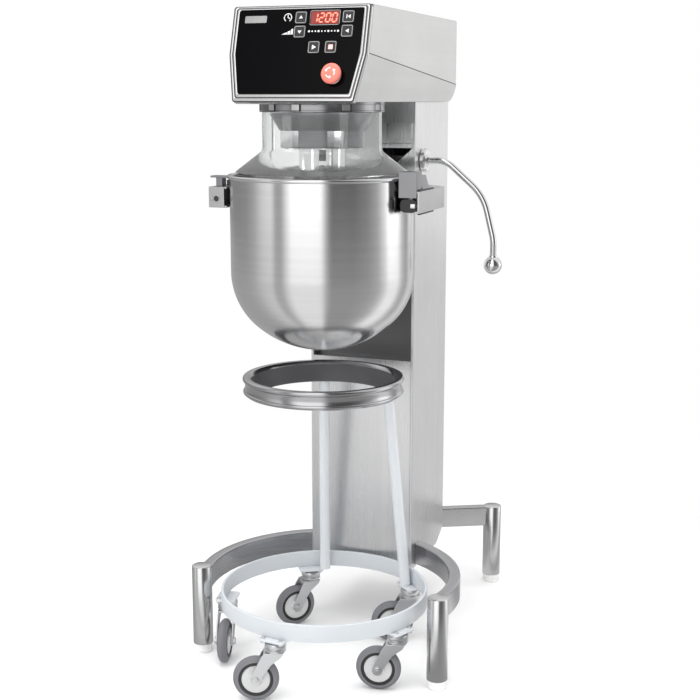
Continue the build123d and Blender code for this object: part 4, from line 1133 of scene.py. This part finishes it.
def make_trolley():
    outer = 223.5
    z0, z1 = 135.0, 172.0
    bm = bmesh.new()
    section = round_rect(6, z1 - z0, 1.6, outer - 3, (z0 + z1) / 2, 3)
    add_lathe(bm, section, 192)
    ring = settle("trolley_ring", bm, MAT["trolley"], "trolley", "trolley_steel")
    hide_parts("trolley_frame")
    legs, beads = bmesh.new(), bmesh.new()
    for angle in (49, 111):
        out = Vector((math.cos(math.radians(angle)), math.sin(math.radians(angle)), 0))
        foot, head = out * 206 + Vector((0, 0, z0 - 10)), out * 153 + Vector((0, 0, 620))
        along = (head - foot).normalized()
        start = foot + along * ((z0 + 1 - foot.z) / along.z)
        end = foot + along * ((600 - foot.z) / along.z)
        add_tube(legs, [start, end], 12, 40)
        turn = frame_from(end - along * 2.5, out, along)
        add_lathe(beads, [(11.5, 0), (13.6, 0.4), (13.8, 1.8), (12.6, 3.2), (11.5, 3.4)], 40, turn=turn)
    settle("trolley_legs", legs, MAT["trolley"], "trolley", "trolley_steel")
    settle("leg_weld_beads", beads, MAT["weld"], "trolley", "trolley_steel")
    plates, bolts = bmesh.new(), bmesh.new()
    for number in CASTERS:
        pivot = caster_pivot(number)
        out = Vector((pivot.x, pivot.y, 0)).normalized()
        turn = frame_from((pivot.x, pivot.y, z0 - 5), out, (0, 0, 1))
        add_prism(plates, round_rect(44, 56, 6), 0, 5, turn)
        for dx, dy in ((-14, -20), (-14, 20), (14, -20), (14, 20)):
            spot = turn @ Matrix.Translation((dx, dy, 0))
            add_prism(bolts, hexagon(10), -4, 0, spot)
            if dx > 0:
                add_lathe(bolts, [(0, 5), (5, 5), (5, 6.2), (3.6, 7.8), (0, 8.4)], 20, turn=spot)
    settle("caster_plates", plates, MAT["trolley"], "trolley", "trolley_steel", 0.8)
    settle("caster_plate_bolts", bolts, MAT["zinc"], "trolley", "zinc")


def make_caster(number):
    pivot, heading = caster_pivot(number), caster_heading(number)
    origin = Vector((pivot.x, pivot.y, 0))
    along = frame_from(origin, heading, (0, 0, 1))
    wheel_joint = JOINTS[f"wheel_{number}_roll"]
    axle = Vector(wheel_joint["pos_m"]) / MM
    wheel_r = axle.z
    trail = (axle - pivot).to_2d().length
    body = f"caster_{number}"
    fork, fittings = bmesh.new(), bmesh.new()
    race = [(6.1, 107), (20, 107), (21.5, 108.5), (21.5, 112), (18.5, 113.5), (18.5, 115), (21, 116.5),
            (22, 119),
            (22, 123), (20.5, 125.5), (16, 127), (12, 128.2), (12, 129.6), (6.1, 129.6)]
    add_lathe(fittings, race, 56, turn=along)
    crown = arc_points(0, 0, 19, 90, 270, 12) + [(18, -19), (24, -16), (24, 16), (18, 19)]
    add_prism(fork, crown, 103.5, 107, along)
    cheek = ([(-17, 107), (23, 107), (30, 96), (trail + 9, wheel_r + 10)]
             + arc_points(trail, wheel_r, 11, 35, -150, 14) + [(trail - 14, wheel_r + 8), (8, 82), (-12, 98)])
    for side in (-1, 1):
        upright = along @ frame_from((0, side * 17.2, 0), (1, 0, 0), (0, -1, 0))
        add_prism(fork, cheek, -1.6, 1.6, upright)
    piece = settle(f"fork_{number}", fork, MAT["zinc"], body, "zinc", 1.0, 3)
    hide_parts(f"caster_fork_{number}")
    across = frame_from((axle.x, axle.y, axle.z), heading, Vector((0, 0, 1)).cross(heading))
    for side in (-1, 1):
        face = across @ Matrix.Rotation(0 if side > 0 else math.pi, 4, "X")
        add_prism(fittings, hexagon(13), 18.8, 23.2, face)
        add_lathe(fittings, [(0, 18.8), (9, 18.8), (9, 19.9), (0, 19.9)], 32, turn=face)
        add_lathe(fittings, [(0, 23.2), (4, 23.2), (3.4, 24), (0, 24)], 24, turn=face)
    add_lathe(fittings, [(0, -18.8), (5, -18.8), (5, 18.8), (0, 18.8)], 24, turn=across)
    settle(f"fork_fittings_{number}", fittings, MAT["zinc"], body, "zinc", 0.4)
    make_wheel(number, across, wheel_r)


def make_wheel(number, across, r):
    body = f"wheel_{number}"
    half = 12.5
    tyre = (arc_points(r - 9, 0, 9, -62, 62, 12) + [(r - 8.5, half - 2.2), (r - 11.5, half - 2),
                                                    (r - 11.5, -half + 2),
                                                   (r - 8.5, -half + 2.2)])
    bm = bmesh.new()
    tyre = [(min(radius, r), z) for radius, z in tyre]
    add_lathe(bm, tyre, 96, turn=across)
    piece = settle(f"tyre_{number}", bm, MAT["tyre"], body, "caster_wheel")
    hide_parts(f"caster_wheel_{number}")
    guard = [(r - 11.4, half - 3), (r - 12, half - 1.2), (r - 17, half - 1.2), (r - 18, half - 3.5)]
    bm = bmesh.new()
    for side in (1, -1):
        add_lathe(bm, [(radius, side * z) for radius,
                       z in guard + [(r - 18, half - 6), (r - 11.4, half - 6)]], 80,
                  turn=across)
    settle(f"wheel_rim_{number}", bm, MAT["black"], body, "caster_wheel")
    disc = [(5.2, -14), (12, -14), (13, -13), (13.5, -9.5), (17, -8.5), (r - 20, -9.5), (r - 18.2, -9),
            (r - 17.5, -7),
            (r - 17.5, 7), (r - 18.2, 9), (r - 20, 9.5), (17, 8.5), (13.5, 9.5), (13, 13), (12, 14),
            (5.2, 14)]
    bm = bmesh.new()
    add_lathe(bm, disc, 80, turn=across)
    settle(f"wheel_hub_{number}", bm, MAT["hub"], body, "caster_wheel")


# ---------------------------------------------------------------- stage, light and camera

CAMERA_PLACE = (0.980, -2.4756, 1.2055)
CAMERA_AZIMUTH, CAMERA_PITCH, CAMERA_LENS = 20.4, 10.93, 66.55


def make_camera():
    camera = bpy.data.cameras.new("view")
    camera.lens = CAMERA_LENS
    camera.sensor_width = 36.0
    camera.clip_end = 50.0
    holder = bpy.data.objects.new("view", camera)
    holder.location = CAMERA_PLACE
    holder.rotation_euler = (math.radians(90 - CAMERA_PITCH), 0, math.radians(CAMERA_AZIMUTH))
    bpy.context.scene.collection.objects.link(holder)
    bpy.context.scene.camera = holder


FLOOR_SEEN, FLOOR_MIRRORED = 1.0, 0.70   # brightness to the eye, and as metal mirrors it


def band_ramp(tree, x, y):
    """Brightness of the studio round the machine, by direction."""
    around = math_node(tree, "ARCTAN2", x, math_node(tree, "MULTIPLY", y, -1.0))
    share = math_node(tree, "MULTIPLY_ADD", around, 0.5 / math.pi)
    share.node.inputs[2].default_value = 0.5
    ramp = tree.nodes.new("ShaderNodeValToRGB")
    tree.links.new(share, ramp.inputs[0])
    stops = ramp.color_ramp.elements
    while len(stops) < len(STUDIO_BANDS):
        stops.new(0.5)
    for stop, (angle, level) in zip(stops, STUDIO_BANDS):
        stop.position = (angle + 180) / 360
        stop.color = (level, level, level, 1)
    return ramp.outputs[0]


def floor_material():
    """Pale floor: lit softly near the machine, and plain white further out."""
    material = base_material("pale_floor", (0.94, 0.94, 0.94), 0.8)
    tree = material.node_tree
    shader = tree.nodes["Principled BSDF"]
    where = tree.nodes.new("ShaderNodeTexCoord")
    away = tree.nodes.new("ShaderNodeVectorMath")
    away.operation = "LENGTH"
    tree.links.new(where.outputs["Object"], away.inputs[0])
    spread = tree.nodes.new("ShaderNodeMapRange")
    spread.interpolation_type = "SMOOTHSTEP"
    spread.inputs["From Min"].default_value = 0.5
    spread.inputs["From Max"].default_value = 1.5
    tree.links.new(away.outputs["Value"], spread.inputs["Value"])
    spot = tree.nodes.new("ShaderNodeSeparateXYZ")
    tree.links.new(where.outputs["Object"], spot.inputs[0])
    soften = tree.nodes.new("ShaderNodeMix")
    soften.data_type = "RGBA"
    soften.inputs["Factor"].default_value = 0.55
    soften.inputs["A"].default_value = (1, 1, 1, 1)
    tree.links.new(band_ramp(tree, spot.outputs[0], spot.outputs[1]), soften.inputs["B"])
    glow, dim = tree.nodes.new("ShaderNodeEmission"), tree.nodes.new("ShaderNodeEmission")
    tree.links.new(soften.outputs["Result"], dim.inputs["Color"])
    glow.inputs["Strength"].default_value = FLOOR_SEEN
    dim.inputs["Strength"].default_value = FLOOR_MIRRORED
    seen = tree.nodes.new("ShaderNodeLightPath")
    outer, mirrored = tree.nodes.new("ShaderNodeMixShader"), tree.nodes.new("ShaderNodeMixShader")
    tree.links.new(spread.outputs[0], outer.inputs[0])
    tree.links.new(shader.outputs[0], outer.inputs[1])
    tree.links.new(glow.outputs[0], outer.inputs[2])
    tree.links.new(seen.outputs["Is Glossy Ray"], mirrored.inputs[0])
    tree.links.new(outer.outputs[0], mirrored.inputs[1])
    tree.links.new(dim.outputs[0], mirrored.inputs[2])
    target = tree.nodes["Material Output"]
    tree.links.new(mirrored.outputs[0], target.inputs["Surface"])
    return material


def make_floor():
    bm = bmesh.new()
    bmesh.ops.create_grid(bm, x_segments=1, y_segments=1, size=9.0)
    mesh = bpy.data.meshes.new("floor")
    bm.to_mesh(mesh)
    bm.free()
    floor = bpy.data.objects.new("floor", mesh)
    bpy.context.scene.collection.objects.link(floor)
    mesh.materials.append(floor_material())


STUDIO_BANDS = [  # degrees round from the front, towards the right side, and brightness
    (-180, 0.50), (-160, 0.28), (-105, 0.26), (-86, 0.30), (-71, 0.46), (-57, 0.86), (-44, 1.05), (-38, 0.42),
    (-30, 0.42), (-25, 0.95), (-17, 1.65), (19, 1.65), (25, 0.55), (31, 0.12), (58, 0.12), (78, 0.24),
    (92, 0.46),
    (104, 1.20), (109, 1.95), (125, 1.95), (135, 0.75), (146, 0.30), (152, 0.85), (157, 1.08), (168, 1.08),
    (174, 0.55)]


def make_studio():
    """A round studio of tall soft panels and dark flags that metal can mirror."""
    world = bpy.data.worlds.new("studio")
    bpy.context.scene.world = world
    world.use_nodes = True
    tree = world.node_tree
    tree.nodes.clear()
    where = tree.nodes.new("ShaderNodeTexCoord")
    split = tree.nodes.new("ShaderNodeSeparateXYZ")
    tree.links.new(where.outputs["Generated"], split.inputs[0])
    x, y, z = split.outputs
    bands = band_ramp(tree, x, y)
    height = tree.nodes.new("ShaderNodeValToRGB")
    lift = math_node(tree, "MULTIPLY_ADD", z, 0.5)
    lift.node.inputs[2].default_value = 0.5
    tree.links.new(lift, height.inputs[0])
    levels = height.color_ramp.elements
    for level in (0.5, 0.62, 0.78):
        levels.new(level)
    for stop, (position, value) in zip(levels,
                                       ((0.0, 0.6), (0.40, 0.9), (0.52, 1.0), (0.75, 0.9), (1.0, 1.1))):
        stop.position = position
        stop.color = (value, value, value, 1)
    above = math_node(tree, "MULTIPLY", z, 1.6, clamp=True)
    behind = math_node(tree, "MULTIPLY", math_node(tree, "ADD", y, 0.25), 3.0, clamp=True)
    glow = math_node(tree, "MULTIPLY", above, behind)
    product = tree.nodes.new("ShaderNodeMix")
    product.data_type = "RGBA"
    product.blend_type = "MULTIPLY"
    product.inputs["Factor"].default_value = 1.0
    tree.links.new(bands, product.inputs["A"])
    tree.links.new(height.outputs[0], product.inputs["B"])
    seen = tree.nodes.new("ShaderNodeLightPath")
    direct = math_node(tree, "MAXIMUM", seen.outputs["Is Camera Ray"], seen.outputs["Is Transmission Ray"])
    studio, backdrop = tree.nodes.new("ShaderNodeBackground"), tree.nodes.new("ShaderNodeBackground")
    open_top = tree.nodes.new("ShaderNodeMix")
    open_top.data_type = "RGBA"
    tree.links.new(glow, open_top.inputs["Factor"])
    tree.links.new(product.outputs["Result"], open_top.inputs["A"])
    open_top.inputs["B"].default_value = (0.95, 0.95, 0.95, 1)
    tree.links.new(open_top.outputs["Result"], studio.inputs["Color"])
    studio.inputs["Strength"].default_value = 1.0
    backdrop.inputs["Color"].default_value = (1, 1, 1, 1)
    choose = tree.nodes.new("ShaderNodeMixShader")
    tree.links.new(direct, choose.inputs[0])
    tree.links.new(studio.outputs[0], choose.inputs[1])
    tree.links.new(backdrop.outputs[0], choose.inputs[2])
    target = tree.nodes.new("ShaderNodeOutputWorld")
    tree.links.new(choose.outputs[0], target.inputs["Surface"])


def soft_light(name, place, aim, size, power):
    """A soft box for the floor and the plastics: metal mirrors the studio instead."""
    lamp = bpy.data.lights.new(name, "AREA")
    lamp.shape = "RECTANGLE"
    lamp.size, lamp.size_y = size
    lamp.energy = power
    holder = bpy.data.objects.new(name, lamp)
    holder.location = place
    holder.rotation_euler = (Vector(aim) - Vector(place)).to_track_quat("-Z", "Y").to_euler()
    holder.visible_glossy = False
    bpy.context.scene.collection.objects.link(holder)


def make_lights():
    soft_light("overhead", (0.2, -0.4, 3.4), (0, 0.2, 0.3), (3.2, 3.2), 95)
    soft_light("left_key", (-2.6, -2.2, 2.4), (0, 0.1, 0.8), (1.4, 2.2), 35)
    soft_light("right_fill", (3.0, -1.6, 1.6), (0, 0.2, 0.7), (1.0, 2.4), 25)


dress_kept_nodes()
make_head_cover()
make_bezel()
make_keys()
make_panel_marks()
make_estop()
make_guard()
make_guard_track()
make_carrier()
make_bowl()
make_lever()
make_base_arc()
make_legs()
make_rear_arms()
make_arm_ends()
make_screws()
make_seat_ring()
make_trolley()
for caster in CASTERS:
    make_caster(caster)
make_floor()
make_studio()
make_lights()
make_camera()
bpy.context.scene.view_settings.view_transform = "Standard"
